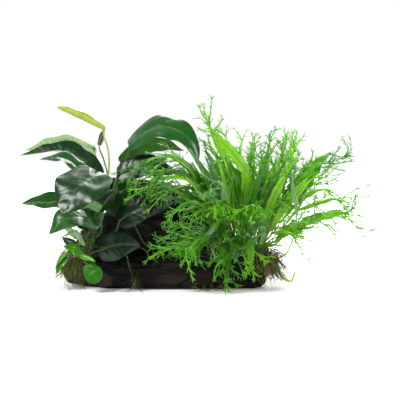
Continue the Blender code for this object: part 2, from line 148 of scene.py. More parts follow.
# %% [markdown]
# ## Shader sums in plain Python
#
# A finish is a little sum: this colour where the mask is, that one where it isn't. Wrapping a socket in
# a class with its own plus and times lets the sum be written as it is read, and each sign in it adds
# the Math node that does it.

# %% A socket that can be added and multiplied
class Value:
    """A shader socket that takes part in Python sums."""

    def __init__(self, finish, socket):
        self.finish = finish
        self.socket = socket

    def sum(self, operation, first, second):
        return self.finish.node("ShaderNodeMath", {"operation": operation}, {0: first, 1: second})

    def __add__(self, other):
        return self.sum("ADD", self, other)

    def __sub__(self, other):
        return self.sum("SUBTRACT", self, other)

    def __rsub__(self, other):
        return self.sum("SUBTRACT", other, self)

    def __mul__(self, other):
        return self.sum("MULTIPLY", self, other)

    __radd__ = __add__
    __rmul__ = __mul__


# %% A finish that is built node by node
class Finish:
    """A material, and the few kinds of node that the finishes below share."""

    def __init__(self, name):
        self.material = bpy.data.materials.new(name)
        self.material.use_nodes = True
        self.material.node_tree.nodes.clear()

    def node(self, kind, settings, sockets, result=0):
        """Add a node: its settings first, then the value or the link of each socket."""
        made = self.material.node_tree.nodes.new(kind)
        for name, setting in settings.items():
            if name == "stops":
                set_stops(made.color_ramp, setting)
            else:
                setattr(made, name, setting)
        for name, value in sockets.items():
            if isinstance(value, Value):
                self.material.node_tree.links.new(value.socket, made.inputs[name])
            else:
                made.inputs[name].default_value = value
        return Value(self, made.outputs[result]) if made.outputs else None

    def mark(self, name):
        """Read a number that the mesh carries at each of its points."""
        return self.node("ShaderNodeAttribute", {"attribute_name": name}, {}, "Fac")

    def place(self):
        """Return where on the object a point lies, in metres."""
        return self.node("ShaderNodeTexCoord", {}, {}, "Object")

    def cloud(self, place, scale, detail=2.0):
        """Return a soft random number from 0 to 1 that changes 'scale' times in a metre."""
        sockets = {"Vector": place, "Scale": scale, "Detail": detail}
        return self.node("ShaderNodeTexNoise", {}, sockets)

    def stretch(self, place, x, y, z):
        """Scale a place by another number along each axis."""
        return self.node("ShaderNodeVectorMath", {"operation": "MULTIPLY"}, {0: place, 1: (x, y, z)})

    def fade(self, value, low, high):
        """Go softly from 0 at 'low' to 1 at 'high'."""
        sockets = {"Value": value, "From Min": low, "From Max": high}
        return self.node("ShaderNodeMapRange", {"interpolation_type": "SMOOTHSTEP"}, sockets)

    def wave(self, value):
        """Return a wave from 0 to 1 that repeats each time the value grows by one."""
        turned = value * (2 * math.pi)
        return self.node("ShaderNodeMath", {"operation": "SINE"}, {0: turned}) * 0.5 + 0.5

    def size(self, value):
        """Return the value without its sign."""
        return self.node("ShaderNodeMath", {"operation": "ABSOLUTE"}, {0: value})

    def ramp(self, value, stops):
        """Pick a colour from a row of stops."""
        return self.node("ShaderNodeValToRGB", {"stops": stops}, {0: value})

    def mix(self, share, low, high):
        """Mix two colours."""
        sockets = {0: share, 6: low, 7: high}
        return self.node("ShaderNodeMix", {"data_type": "RGBA"}, sockets, 2)

    def bump(self, height, depth):
        """Return the normal of a surface that rises by 'height' times 'depth' metres."""
        return self.node("ShaderNodeBump", {}, {"Height": height, "Distance": depth})

    def close(self, shader, sheer=0.0, glow=None):
        """End the material with a shader, and let a share of the light through where it is sheer."""
        if sheer:
            through = self.node("ShaderNodeBsdfTranslucent", {}, {"Color": glow})
            shader = self.node("ShaderNodeMixShader", {}, {0: sheer, 1: shader, 2: through})
        self.node("ShaderNodeOutputMaterial", {}, {"Surface": shader})


# %% Colours as a paint chart gives them
def paint(red, green, blue):
    """Return the linear colour of a display colour from 0 to 255."""
    shares = np.array((red, green, blue)) / 255
    linear = np.where(shares < 0.04045, shares / 12.92, ((shares + 0.055) / 1.055) ** 2.4)
    return (*linear.tolist(), 1.0)


def set_stops(ramp, stops):
    """Give a colour ramp its stops, each a place from 0 to 1 and a colour."""
    while len(ramp.elements) < len(stops):
        ramp.elements.new(1.0)
    for element, (place, colour) in zip(ramp.elements, stops):
        element.position = place
        element.color = colour


print("a leaf green in linear light:", [round(share, 3) for share in paint(40, 90, 45)])

# %% [markdown]
# ## Floor
#
# A pale sheet with nothing on it. One flat face is enough, as long as its edge lies far outside the
# picture. It is part of the stage, so it stays out of the object.

# %% Lay the floor
FLOOR_HALF = 1.25
floor_mesh = bpy.data.meshes.new("floor")
corners = [(x, y, 0) for x, y in ((-1, -1), (1, -1), (1, 1), (-1, 1))]
floor_mesh.from_pydata([(x * FLOOR_HALF, y * FLOOR_HALF, z) for x, y, z in corners], [], [(0, 1, 2, 3)])
floor = bpy.data.objects.new("floor", floor_mesh)
bpy.context.scene.collection.objects.link(floor)
floor_finish = Finish("pale_floor")
grey = floor_finish.cloud(floor_finish.place(), 6.0)
floor_finish.close(floor_finish.node("ShaderNodeBsdfPrincipled", {}, {
    "Base Color": floor_finish.mix(grey, paint(244, 244, 243), paint(248, 248, 247)),
    "Roughness": 0.8,
}))
floor_mesh.materials.append(floor_finish.material)
floor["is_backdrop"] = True
print("floor", 2 * FLOOR_HALF, "m wide")

# %% [markdown]
# ## Routes
#
# Stems, leaves, roots and limbs all follow a line in space. Curve objects could draw such lines, but
# then a leaf's width, lobes and waves could hardly be given along them. One helper here draws a smooth
# curve through a few points, and another carries a side and an up direction along it that never twist.
# They are the same sums as the solid model's, so what is built on them lies where its solids lie.

# %% Smooth curves and the directions along them
FINE_STEPS = 24


def unit(vectors):
    """Return the vectors at length 1."""
    return vectors / np.linalg.norm(vectors, axis=-1, keepdims=True)


def smooth_route(points, shares):
    """Return the points at the given shares of length along a smooth curve through 'points'."""
    points = np.array(points, float)
    steps = np.diff(points, axis=0)
    chords = np.linalg.norm(steps, axis=1)[:, None]
    slopes = steps / chords
    inner = (slopes[:-1] * chords[1:] + slopes[1:] * chords[:-1]) / (chords[:-1] + chords[1:])
    slopes = np.vstack([slopes[:1], inner, slopes[-1:]])
    t = np.linspace(0.0, 1.0, FINE_STEPS, endpoint=False)[:, None]
    fine = []
    for i, chord in enumerate(chords):
        fine.append(
            (2 * t**3 - 3 * t**2 + 1) * points[i]
            + (t**3 - 2 * t**2 + t) * chord * slopes[i]
            + (3 * t**2 - 2 * t**3) * points[i + 1]
            + (t**3 - t**2) * chord * slopes[i + 1]
        )
    fine = np.vstack([*fine, points[-1:]])
    lengths = np.concatenate([[0.0], np.cumsum(np.linalg.norm(np.diff(fine, axis=0), axis=1))])
    wanted = np.asarray(shares) * lengths[-1]
    return np.column_stack([np.interp(wanted, lengths, column) for column in fine.T])


def length_of(points):
    """Return the length of a row of points."""
    return np.linalg.norm(np.diff(points, axis=0), axis=1).sum()


def frames(centres, face, anchor):
    """Return side, up and forward directions along a route, free of twist from the anchor on."""
    along = unit(np.gradient(centres, axis=0))
    sides = np.zeros_like(centres)
    sides[anchor] = unit(np.cross(face, along[anchor]))
    for i in range(anchor + 1, len(centres)):
        sides[i] = unit(sides[i - 1] - along[i] * np.dot(sides[i - 1], along[i]))
    for i in range(anchor - 1, -1, -1):
        sides[i] = unit(sides[i + 1] - along[i] * np.dot(sides[i + 1], along[i]))
    return sides, np.cross(along, sides), along


def ease(value, low, high):
    """Go softly from 0 at 'low' to 1 at 'high'."""
    t = np.clip((value - low) / (high - low), 0, 1)
    return t * t * (3 - 2 * t)


arch = smooth_route([(0, 0, 0), (10, 0, 10), (20, 0, 0)], np.linspace(0, 1, 9))
print("an arch of three points is", round(length_of(arch), 1), "mm long")

# %% [markdown]
# ## Skins
#
# Everything here is a skin over rings of points: a tube, a leaf, a limb. A Bundle gathers such skins as
# plain arrays and turns them into one mesh, which is far quicker than one object for each root hair.
# With each point it keeps marks, such as how far along the frond it lies, which the finish reads.

# %% Gather skins into one mesh
class Bundle:
    """Skins gathered as arrays, in millimetres, to become one piece."""

    def __init__(self):
        self.points = []
        self.faces = []
        self.marks = {}
        self.count = 0

    def skin(self, rings, **marks):
        """Skin a row of closed rings. A mark is one number, or one for each ring or each point."""
        rows, around = rings.shape[:2]
        index = self.count + np.arange(rows * around).reshape(rows, around)
        beside = np.roll(index, -1, axis=1)
        quads = np.stack([index[:-1], beside[:-1], beside[1:], index[1:]], axis=-1)
        self.faces += quads.reshape(-1, 4).tolist()
        self.faces += [index[0, ::-1].tolist(), index[-1].tolist()]
        self.points.append(rings.reshape(-1, 3))
        for name, values in marks.items():
            values = np.asarray(values, float)
            spread = values[:, None] if values.ndim == 1 else values
            self.marks.setdefault(name, []).append(np.broadcast_to(spread, (rows, around)).ravel())
        self.count += rows * around

    def tube(self, points, radii, around, **marks):
        """Skin a round tube along a row of points."""
        sides, ups, _ = frames(points, np.array((0.31, -0.9, 0.2)), 0)
        angles = np.linspace(0, 2 * math.pi, around, endpoint=False)[:, None]
        radii = np.broadcast_to(radii, len(points))[:, None, None]
        rings = np.cos(angles) * sides[:, None] + np.sin(angles) * ups[:, None]
        self.skin(points[:, None] + radii * rings, **marks)

    def piece(self, name, finish, slot, *nodes):
        """Make the mesh and place it in the frame, where it stands for the named solids."""
        mesh = bpy.data.meshes.new(name)
        mesh.from_pydata(np.vstack(self.points) * MM, [], self.faces)
        for mark, values in self.marks.items():
            numbers = np.concatenate(values).astype(np.float32)
            mesh.attributes.new(mark, "FLOAT", "POINT").data.foreach_set("value", numbers)
        mesh.shade_smooth()
        mesh.materials.append(finish.material)
        obj = bpy.data.objects.new(name, mesh)
        bpy.context.scene.collection.objects.link(obj)
        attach(obj, "root")
        if nodes:
            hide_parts(*nodes)
        return sum(len(face) - 2 for face in self.faces)


trial = Bundle()
trial.tube(arch, 1.0, 8)
print("a tube over", len(arch), "points has", len(trial.faces), "faces")

# %% [markdown]
# ## Driftwood
#
# Bogwood is a forked root that has lain under water until only the hard heartwood is left. Soft wood has
# rotted out between the fibres, so it is all long furrows, with knots that the grain flows around. Low
# on its left end is a small sawn face. A Displace modifier would push the surface evenly in all
# directions. Here each point moves by noise that is stretched a long way along the limb, so the
# furrows run with the grain.

# %% The limbs' stations
Station = namedtuple("Station", "centre depth height askew")
LOWER_LIMB = (
    Station((-81, -8, 14), 21, 18, 1.44),
    Station((-58, -8, 14), 22, 20, 0.95),
    Station((-36, -8, 14), 22, 19.5, 0.35),
    Station((-14, -9, 14), 21.5, 20, 0.0),
    Station((8, -8, 14), 22.5, 20, 0.0),
    Station((30, -8, 14), 21.5, 20.5, 0.0),
    Station((52, -8, 14), 22, 20, 0.0),
    Station((70, -7, 14), 21, 20, 0.0),
    Station((85, -7, 14), 20, 19, 0.1),
    Station((92, -7, 14), 14, 13, 0.25),
)
MIDDLE_LIMB = (
    Station((-88, 22, 31), 11, 22, 0.9),
    Station((-68, 19, 35), 18, 33, 0.5),
    Station((-44, 16, 37), 22, 38, 0.15),
    Station((-18, 17, 36), 23, 38, 0.0),
    Station((6, 15, 36), 21, 37, 0.0),
    Station((28, 17, 30), 17, 29, 0.0),
    Station((42, 15, 26), 12, 20, 0.2),
    Station((50, 14, 24), 6, 11, 0.3),
)
BACK_LIMB = (
    Station((40, 18, 50), 9, 9, -0.4),
    Station((27, 21, 64), 13, 14, -0.3),
    Station((9, 25, 78), 15.5, 16.5, 0.0),
    Station((-14, 28, 86), 15.5, 16, 0.0),
    Station((-36, 28, 90), 14, 14.5, 0.0),
    Station((-54, 26, 93), 11.5, 12, 0.1),
    Station((-67, 24, 97), 8, 8.5, 0.3),
    Station((-75, 23, 100), 4, 4.5, 0.5),
)
print("limbs", len(LOWER_LIMB), len(MIDDLE_LIMB), len(BACK_LIMB), "stations")


# %% Furrows, ribs and knots
# How long the lumps of each noise are along, across and up, and how far they move the skin, in mm.
DRIFT_SIZES = (38, 20, 20)
LUMP_SIZES = (34, 17, 17)
RIB_SIZES = (70, 6.5, 6.5)
FIBRE_SIZES = (30, 2.1, 2.1)
CRACK_SIZES = (55, 9, 9)
DRIFT = 7
LUMP_HEIGHT = 2.4
RIB_HEIGHT = 2.0
FIBRE_HEIGHT = 1.2
CRACK_DEPTH = 2.0


def cloudy(points, x, y, z):
    """Return smooth noise from -1 to 1 whose lumps are x, y and z millimetres long."""
    return np.array([noise.noise(point) for point in (points / (x, y, z)).tolist()])


def relief(points, knots):
    """Return how far the wood stands proud at each point, and how deep in a furrow the point lies."""
    drift = DRIFT * cloudy(points + 300, *DRIFT_SIZES)
    bent = points + np.column_stack([0 * drift, drift, drift])
    knotted = np.zeros(len(points))
    for centre, size in knots:
        apart = np.linalg.norm((points - centre) * (0.6, 1, 1), axis=1) / size
        bent = bent + (bent - centre) * (1.6 * np.exp(-apart**2))[:, None]
        knotted += 1.8 * np.exp(-(((apart - 1) / 0.4) ** 2)) - 2.2 * np.exp(-((apart / 0.5) ** 2))
    lumps = cloudy(bent + 90, *LUMP_SIZES)
    ribs = cloudy(bent, *RIB_SIZES)
    fibres = cloudy(bent - 50, *FIBRE_SIZES)
    cracks = np.exp(-((cloudy(bent + 500, *CRACK_SIZES) / 0.07) ** 2))
    height = LUMP_HEIGHT * lumps + RIB_HEIGHT * ribs + FIBRE_HEIGHT * fibres
    height = height - CRACK_DEPTH * cracks + knotted
    furrow = np.clip(0.45 - 0.8 * ribs - 0.7 * fibres + 0.6 * cracks, 0, 1)
    return height, furrow


grain = np.outer(np.linspace(-10, 10, 80), (1, 0, 0)) + (0, -30, 20)
across_grain = np.outer(np.linspace(-10, 10, 80), (0, 0, 1)) + (0, -30, 20)
for way, line in (("along", grain), ("across", across_grain)):
    print("relief", way, "20 mm of the grain:", round(float(np.ptp(relief(line, [])[0])), 1), "mm")

# %% The skin of a limb
BARK_RIDGES = 5
BARK_RIDGE_HEIGHT = 0.045
BARK_TWIST = 0.3
CAP_SHARES = np.linspace(0.04, 0.96, 12)
CUT_CENTRE = np.array((-76, 0, 6))
CUT_RADII = np.array((19, 1e3, 12))
TEAR_SIZES = (40, 3.5, 3.5)
TEAR_DEPTH = 7
SAWN_TEAR = 0.05
FOOT_SIZES = (13, 9, 9)


def limb_skin(bundle, stations, rows, columns, knots, worn, sawn_start=False):
    """Skin a limb: smooth through its stations, furrowed, and closed by a cap at each end."""
    table = [(*s.centre, s.depth, s.height, s.askew, order) for order, s in enumerate(stations)]
    fine = smooth_route(table, np.linspace(0, 1, rows))
    depth, height, askew, order = (column[:, None] for column in fine.T[3:])
    angles = 2 * math.pi * (np.arange(columns)[None] + 0.5) / columns
    ridge = 1 + BARK_RIDGE_HEIGHT * np.sin(BARK_RIDGES * angles + BARK_TWIST * order)
    out = np.stack([np.zeros((rows, columns)), ridge * depth * np.cos(angles),
                    ridge * height * np.sin(angles)], axis=-1)
    out[..., 0] = -askew * out[..., 1]
    caps = [out[:1] * share for share in CAP_SHARES], [out[-1:] * share for share in CAP_SHARES[::-1]]
    out = np.concatenate([*caps[0], out, *caps[1]])
    count = len(CAP_SHARES)
    middle = np.concatenate([fine[:1, :3].repeat(count, 0), fine[:, :3], fine[-1:, :3].repeat(count, 0)])
    points = middle[:, None] + out
    rise, furrow = (values.reshape(points.shape[:2]) for values in relief(points.reshape(-1, 3), knots))
    radial = out * (0, 1, 1) / np.maximum(np.linalg.norm(out * (0, 1, 1), axis=-1, keepdims=True), 1e-6)
    kept = np.concatenate([CAP_SHARES**3, np.ones(rows), CAP_SHARES[::-1]**3])[:, None]
    points = points + radial * (rise * kept)[..., None]
    torn = cloudy(points.reshape(-1, 3), *TEAR_SIZES).reshape(rise.shape) * (1 - kept) * TEAR_DEPTH
    torn[: count + 1] *= SAWN_TEAR if sawn_start else -1
    points[..., 0] += torn
    rough = 0.9 + 0.9 * cloudy(points.reshape(-1, 3), *FOOT_SIZES).reshape(rise.shape)
    points[..., 2] = np.maximum(points[..., 2], np.maximum(rough, 0))
    sawn = np.zeros(points.shape[:2])
    if sawn_start:
        reach = np.linalg.norm((points[: count + 1] - CUT_CENTRE) / CUT_RADII, axis=-1)
        sawn[: count + 1] = ease(-reach, -1.03, -0.97)
    ring = np.linalg.norm(out, axis=-1)
    bundle.skin(points, furrow=furrow, sawn=sawn, ring=ring, worn=worn(points))


def worn_front(points):
    """Mark the strip low on the front where the dark skin has rubbed off."""
    x, y, z = np.moveaxis(points, -1, 0)
    strip = ease(z, 4, 8) * ease(-z, -19, -15) * ease(-y, 24, 29)
    return strip * ease(x, -33, -22) * ease(-x, -62, -30)


def never(points):
    """Mark nothing."""
    return np.zeros(points.shape[:2])


# %% [markdown]
# ## The wood's finish
#
# Wet bogwood is nearly black, with a soft shine. The furrow mark that came with the relief paints
# shade into the hollows and a lighter, redder highlight onto the ribs, and noise stretched along the
# grain draws the fibres that are too fine for the mesh. A painted image could do the same, but it
# would have to be laid out over the forks, and marks on the points need no such layout. A strip low on
# the front is rubbed brown, and the sawn face shows faint growth rings.

# %% Colour and shine of the wood
def wood_finish():
    """Return the finish of the wood, its rubbed strip and its sawn face."""
    wood = Finish("wet_bogwood")
    place = wood.place()
    fibres = wood.cloud(wood.stretch(place, 60, 900, 900), 1.0, 4.0)
    patches = wood.cloud(wood.stretch(place, 20, 60, 60), 1.0, 3.0)
    furrow = wood.mark("furrow")
    # Painted shade and highlight: the furrow mark darkens the hollows and leaves the ribs lighter.
    tone = (1 - furrow) * 0.6 + patches * 0.5 + (fibres - 0.5) * 0.6 - 0.12
    furrow_shaded_wood = wood.ramp(tone, [
        (0.15, paint(2, 1, 1)),
        (0.5, paint(6, 4, 4)),
        (0.75, paint(14, 9, 8)),
        (1.0, paint(36, 24, 20)),
    ])
    rubbed = wood.mix(fibres, paint(16, 11, 9), paint(44, 31, 26))
    furrow_shaded_wood = wood.mix(wood.mark("worn") * wood.fade(patches, 0.3, 0.55), furrow_shaded_wood, rubbed)
    grain_rings = wood.wave(wood.mark("ring") * 0.42 + patches * 2.0)
    cut_face = wood.mix(grain_rings * 0.12 + patches * 0.5, paint(64, 53, 49), paint(30, 24, 22))
    sawn = wood.fade(wood.mark("sawn"), 0.4, 0.6)
    height = (fibres * 0.7 + patches * 0.5) * (1 - sawn * 0.8)
    wood.close(wood.node("ShaderNodeBsdfPrincipled", {}, {
        "Base Color": wood.mix(sawn, furrow_shaded_wood, cut_face),
        "Roughness": 0.42 + furrow * 0.35 + sawn * 0.1,
        "Specular IOR Level": 0.16,
        "Normal": wood.bump(height, 0.0012),
    }))
    return wood


wood = wood_finish()
print("wood finish has", len(wood.material.node_tree.nodes), "nodes")

# %% Build the limbs
FRONT_KNOTS = [((-27, -4, 52), 7), ((22, -28, 26), 4.5), ((-52, -27, 24), 4)]
BACK_KNOTS = [((-20, 40, 40), 7), ((30, 33, 30), 5), ((-62, 34, 46), 5)]
TOP_KNOTS = [((-8, 42, 86), 5), ((-45, 22, 103), 5)]
LIMBS = (
    ("driftwood_lower_limb", LOWER_LIMB, 300, 170, FRONT_KNOTS, worn_front),
    ("driftwood_middle_limb", MIDDLE_LIMB, 260, 170, FRONT_KNOTS + BACK_KNOTS, never),
    ("driftwood_back_limb", BACK_LIMB, 230, 110, TOP_KNOTS, never),
)
for node, stations, rows, columns, knots, worn in LIMBS:
    bundle = Bundle()
    limb_skin(bundle, stations, rows, columns, knots, worn, sawn_start=stations is LOWER_LIMB)
    faces = bundle.piece(node.replace("driftwood", "furrowed"), wood, "driftwood", node)
    print(node, faces, "triangles")

# %% [markdown]
# ## Creeping stems
#
# Both plants creep along the wood on a thick stem that never enters it. Old leaves leave a ring-shaped
# scar each time they fall. A bump in the finish could draw the rings, but the outline would stay
# smooth, so the stem is a tube whose radius narrows at every scar, green where it is young and brown
# where it is old.

# %% Routes of the creeping stems
RHIZOMES = {
    "anubias_rhizome": (
        ((-80, -18, 34), (-77.5, -17, 48), (-72, -15.5, 66), (-66, -14.5, 84), (-62, -14, 96),
         (-60, -14, 104)),
        (3.6, 4.5, 4.6, 4.5, 4.0, 1.8),
    ),
    "anubias_side_shoot": (
        ((-86.5, -20.5, 38), (-91, -22.5, 39), (-96, -24.5, 38), (-101, -26, 35)),
        (2.2, 2.9, 2.7, 1.6),
    ),
    "fern_rhizome_front": (
        ((37, -22, 36), (52, -22.5, 37), (68, -22, 37), (84, -21, 36.5), (98, -19.5, 33), (107, -20, 22),
         (114, -20, 10), (121, -20, 7.5), (125, -20, 16)),
        (3.0, 4.0, 4.2, 4.2, 3.8, 2.4, 1.7, 1.3, 0.7),
    ),
    "fern_rhizome_back": (
        ((53, 4, 38), (66, 4, 38.5), (82, 4, 38), (98, 4, 36.5)),
        (2.8, 3.9, 4.0, 3.2),
    ),
}
PETIOLE_GAP = 1.4
PETIOLE_LIFT = 3.0
LAST_STALK = 0.99
STEM_PLACES = 200


def petiole_start(stem, place, first):
    """Return two points where a stalk leaves a creeping stem: inside its skin and square to it outside.

    The place is a share of the stem's length, or above 1 a distance to the right in millimetres. A
    stalk at the very end of the stem starts just before it, where the stem still has a direction.
    """
    points, radii = RHIZOMES[stem]
    route = smooth_route(points, np.linspace(0, 1, STEM_PLACES))
    share = np.argmax(route[:, 0] >= place) / (STEM_PLACES - 1) if place > 1.0 else place
    if share == 1.0:
        share = LAST_STALK
    centre, ahead = smooth_route(points, (share, min(1.0, share + 0.01)))
    axis = unit(ahead - centre)
    off = np.array(first, float) - centre
    off = unit(off - axis * np.dot(off, axis))
    radius = np.interp(share, np.linspace(0, 1, len(radii)), radii)
    return centre + off * (radius - 1.0), centre + off * (radius + PETIOLE_GAP + PETIOLE_LIFT)


for stem, (points, radii) in RHIZOMES.items():
    print(stem, "is", round(float(length_of(smooth_route(points, np.linspace(0, 1, 60))))), "mm long")

# %% Colour of the creeping stems
def stem_finish():
    """Return the finish of both plants' creeping stems."""
    stem = Finish("creeping_stem")
    speck = stem.cloud(stem.place(), 420.0, 4.0)
    scar = stem.fade(stem.wave(stem.mark("scar")), 0.8, 0.98)
    age = stem.mark("age") + (speck - 0.5) * 0.7
    flesh = stem.ramp(age, [
        (0.0, paint(164, 190, 60)),
        (0.25, paint(92, 124, 40)),
        (0.5, paint(52, 78, 34)),
        (0.85, paint(44, 42, 24)),
    ])
    stem.close(stem.node("ShaderNodeBsdfPrincipled", {}, {
        "Base Color": stem.mix(scar * stem.fade(age, 0.0, 0.5) * 0.4, flesh, paint(40, 34, 20)),
        "Roughness": 0.42 + speck * 0.25,
        "Normal": stem.bump(speck + scar, 0.0006),
    }))
    return stem


stem_surface = stem_finish()
print("stem finish has", len(stem_surface.material.node_tree.nodes), "nodes")

# %% Build the creeping stems
STEM_ROWS = 150
STEM_AROUND = 20
STEM_SEED = 7
STEM_STRAY = 0.35
SCAR_SPACING = 4.5
STEM_AGES = {
    "anubias_rhizome": (0.45, 0.25),
    "anubias_side_shoot": (0.5, 0.15),
    "fern_rhizome_front": (0.9, -0.1),
    "fern_rhizome_back": (0.85, 0.5),
}
for stem, (points, radii) in RHIZOMES.items():
    shares = np.linspace(0, 1, STEM_ROWS)
    route = smooth_route(points, shares)
    scar = shares * length_of(route) / SCAR_SPACING
    radius = np.interp(shares, np.linspace(0, 1, len(radii)), radii)
    radius = radius * (0.93 + 0.09 * np.abs(np.sin(math.pi * scar)) ** 0.5)
    old, young = STEM_AGES[stem]
    age = old + (young - old) * ease(shares, 0.55, 0.95)
    walk = np.random.default_rng(STEM_SEED).normal(0, 1, (STEM_ROWS - 2, 3)).cumsum(0)
    route[1:-1] += STEM_STRAY * walk / 9
    bundle = Bundle()
    bundle.tube(route, radius, STEM_AROUND, scar=scar + 0.25, age=age)
    bundle.piece("ringed_" + stem, stem_surface, "creeping_stem", stem)
print("creeping stems", len(RHIZOMES))

# %% [markdown]
# ## Anubias leaves
#
# An anubias leaf is thick and stiff, dark and glossy above and paler below. The blade starts in two
# round lobes behind the stalk, is widest near them and runs out to a point. It sags between its side
# veins, and that quilting breaks the mirrored light into ripples, so the veins are shaped in the mesh
# and only their thin lines are left to the finish. A flat sheet with a Solidify modifier could give
# the blade, but flattened rings give the face, the back and the edge as one skin, thicker at the
# midrib. The youngest leaf, high on the left, is still rolled. Small leaves at the plant's foot and in
# its gaps are made the same way, as one piece.

# %% Where each leaf stands
Leaf = namedtuple("Leaf", "stem place width fold face tone stalk blade")
LEAVES = (
    Leaf("main", 0.86, 18, 4, (0, 0.45, 0.9), "pale",
         [(-68, -2, 108), (-74, 10, 126)],
         [(-80, 22, 137), (-108, 26, 144), (-146, 24, 134)]),
    Leaf("main", 0.78, 14, 35, (0, -0.4, 0.9), "dark",
         [(-70, -14, 101)],
         [(-71, -12, 113), (-100, -1, 134), (-148, -4, 131)]),
    Leaf("main", 0.66, 11, 15, (0, -0.4, 0.9), "green",
         [(-76, -20, 88), (-78, -27, 101)],
         [(-79, -30, 111), (-102, -30, 130), (-126, -30, 129)]),
    Leaf("main", 0.56, 26, 5, (-0.07, -0.7, 0.7), "dark",
         [(-74, -30, 86), (-76, -43, 104)],
         [(-74, -50, 115), (-87, -68, 104), (-100, -80, 81)]),
    Leaf("main", 0.46, 13, 15, (0, -0.55, 0.8), "green",
         [(-82, -19, 74), (-90, -22, 84)],
         [(-96, -26, 86), (-123, -33, 88), (-144, -35, 86)]),
    Leaf("main", 0.35, 17, 8, (-0.2, -0.6, 0.75), "green",
         [(-77, -28, 59), (-77, -34, 64)],
         [(-76, -40, 70), (-95, -50, 75), (-115, -58, 59)]),
    Leaf("main", 0.27, 12, 10, (-0.5, -0.4, 0.75), "dark",
         [(-68, -28, 56), (-66, -36, 68)],
         [(-67, -41, 82), (-60, -37, 92), (-50, -33, 101)]),
    Leaf("main", 0.95, 6.5, 12, (1, -0.3, 0.3), "dark",
         [(-62, -2, 110), (-66, 1, 126)],
         [(-70, -2, 143), (-65, -1, 158)]),
    Leaf("main", 0.93, 9, 72, (0, 0.5, 0.85), "young",
         [(-60, -23, 113), (-60, -23, 138), (-65, -16, 153)],
         [(-66, -12, 158), (-89, -4, 168), (-112, 0, 178)]),
    Leaf("main", 0.87, 17, 6, (0.1, -0.65, 0.75), "green",
         [(-52, -12, 103), (-44, -6, 124)],
         [(-33, -19, 148), (-12, -24, 161), (10, -28, 157), (22, -31, 145), (28, -34, 126)]),
    Leaf("main", 0.9, 12, 0, (0, 0.75, 0.65), "green",
         [(-54, -8, 106), (-50, 0, 120)],
         [(-48, 4, 126), (-26, 8, 140), (-6, 8, 142), (14, 6, 135)]),
    Leaf("main", 0.8, 13, 6, (0, -0.85, 0.5), "deep",
         [(-55, -13, 97), (-52, -13, 108)],
         [(-48, -20, 115), (-26, -23, 123), (8, -26, 115)]),
    Leaf("main", 0.12, 13, 6, (0, -0.95, 0.35), "deep",
         [(-68, -26, 44), (-60, -33, 53), (-51, -39, 61)],
         [(-47, -42, 71), (-25, -44, 84), (2, -39, 84)]),
    Leaf("main", 0.03, 14, 6, (0, -0.98, 0.2), "deep",
         [(-74, -32, 38)],
         [(-65, -45, 42), (-47, -52, 48), (-28, -51, 47)]),
    Leaf("side", 0.4, 6, 8, (0, -0.7, 0.7), "dark",
         [(-91, -30, 38)],
         [(-91, -37, 41), (-97, -40, 48), (-104, -42, 54)]),
    Leaf("side", 0.1, 9, 4, (0, -0.95, 0.3), "fresh",
         [(-86, -30, 33), (-84, -40, 32)],
         [(-78, -47, 26), (-73, -50, 18.5), (-67.5, -52, 12)]),
    Leaf("side", 0.86, 5, 8, (-0.5, -0.6, 0.5), "fresh",
         [(-99.5, -30.5, 35)],
         [(-101, -34, 33), (-107, -37, 26), (-111, -38, 17)]),
    Leaf("side", 0.3, 7, 4, (0, 0.5, 0.8), "pale",
         [(-90, -22, 45)],
         [(-89, -25, 52), (-97, -28, 59), (-106, -30, 64)]),
)
SMALL_LEAVES = (
    Leaf("side", 0.2, 5.5, 6, (0.1, -0.7, 0.7), "bright",
         [(-88, -30, 38)],
         [(-87, -40, 37), (-94, -44, 44), (-103, -45, 46)]),
    Leaf("side", 0.6, 5, 10, (0, 0.4, 0.9), "pale",
         [(-90, -28, 45)],
         [(-84, -35, 46), (-93, -38, 57), (-107, -42, 53)]),
    Leaf("side", 0.05, 3.4, 20, (0, -0.7, 0.7), "bright",
         [(-86, -36, 36)],
         [(-86, -44, 36), (-79, -47, 34), (-71, -50, 31)]),
    Leaf("side", 0.95, 3, 10, (-0.6, -0.6, 0.5), "bright",
         [(-100, -30, 36)],
         [(-102, -33, 37), (-108, -36, 30), (-112, -38, 22)]),
    Leaf("main", 0.4, 4.5, 8, (0, -1, 0.1), "pale",
         [(-66, -26, 70), (-65, -38, 78)],
         [(-66, -44, 82), (-76, -46, 87), (-88, -46, 90)]),
    Leaf("main", 0.7, 13, 6, (0.1, -0.9, 0.4), "dark",
         [(-62, -4, 92)],
         [(-58, 2, 96), (-44, 5, 92), (-24, 6, 82)]),
    Leaf("main", 0.72, 12, 6, (0.1, -0.9, 0.3), "dark",
         [(-64, -4, 84)],
         [(-62, 0, 86), (-52, 2, 80), (-36, 4, 72)]),
    Leaf("main", 0.2, 9, 6, (-0.1, -0.9, 0.3), "dark",
         [(-82, -24, 52)],
         [(-84, -26, 62), (-82, -27, 72), (-74, -27, 84)]),
    Leaf("main", 0.5, 10, 6, (0, -0.9, 0.3), "deep",
         [(-78, -8, 70)],
         [(-84, -8, 74), (-76, -6, 84), (-60, -4, 91)]),
)
LEAF_YOUTH = {
    "deep": 0.0, "dark": 0.1, "green": 0.2, "fresh": 0.33, "bright": 0.42, "pale": 0.66, "young": 1.0,
}
print("anubias leaves", len(LEAVES), "and small ones", len(SMALL_LEAVES))

# %% The blade and the stalk of a leaf
BLADE_ROWS = 56
BLADE_AROUND = 56
LEAF_LOBE = 0.42
WIDE_LOBES = {4: 0.5, 6: 0.5, 10: 0.8}
ROUND_LEAVES = (9, 16)
LEAF_CAMBER = 0.14
MIDWAY = 0.46
VEIN_SPACING = 6.0
QUILT_DEPTH = 0.12
SWELL_SIZES = (11, 9, 9)
MARGIN_WAVE = 1.2
LEAF_SKIN = 0.28
RIB_ABOVE = 0.35
RIB_BELOW = 0.8
ROLLED_FROM = 50


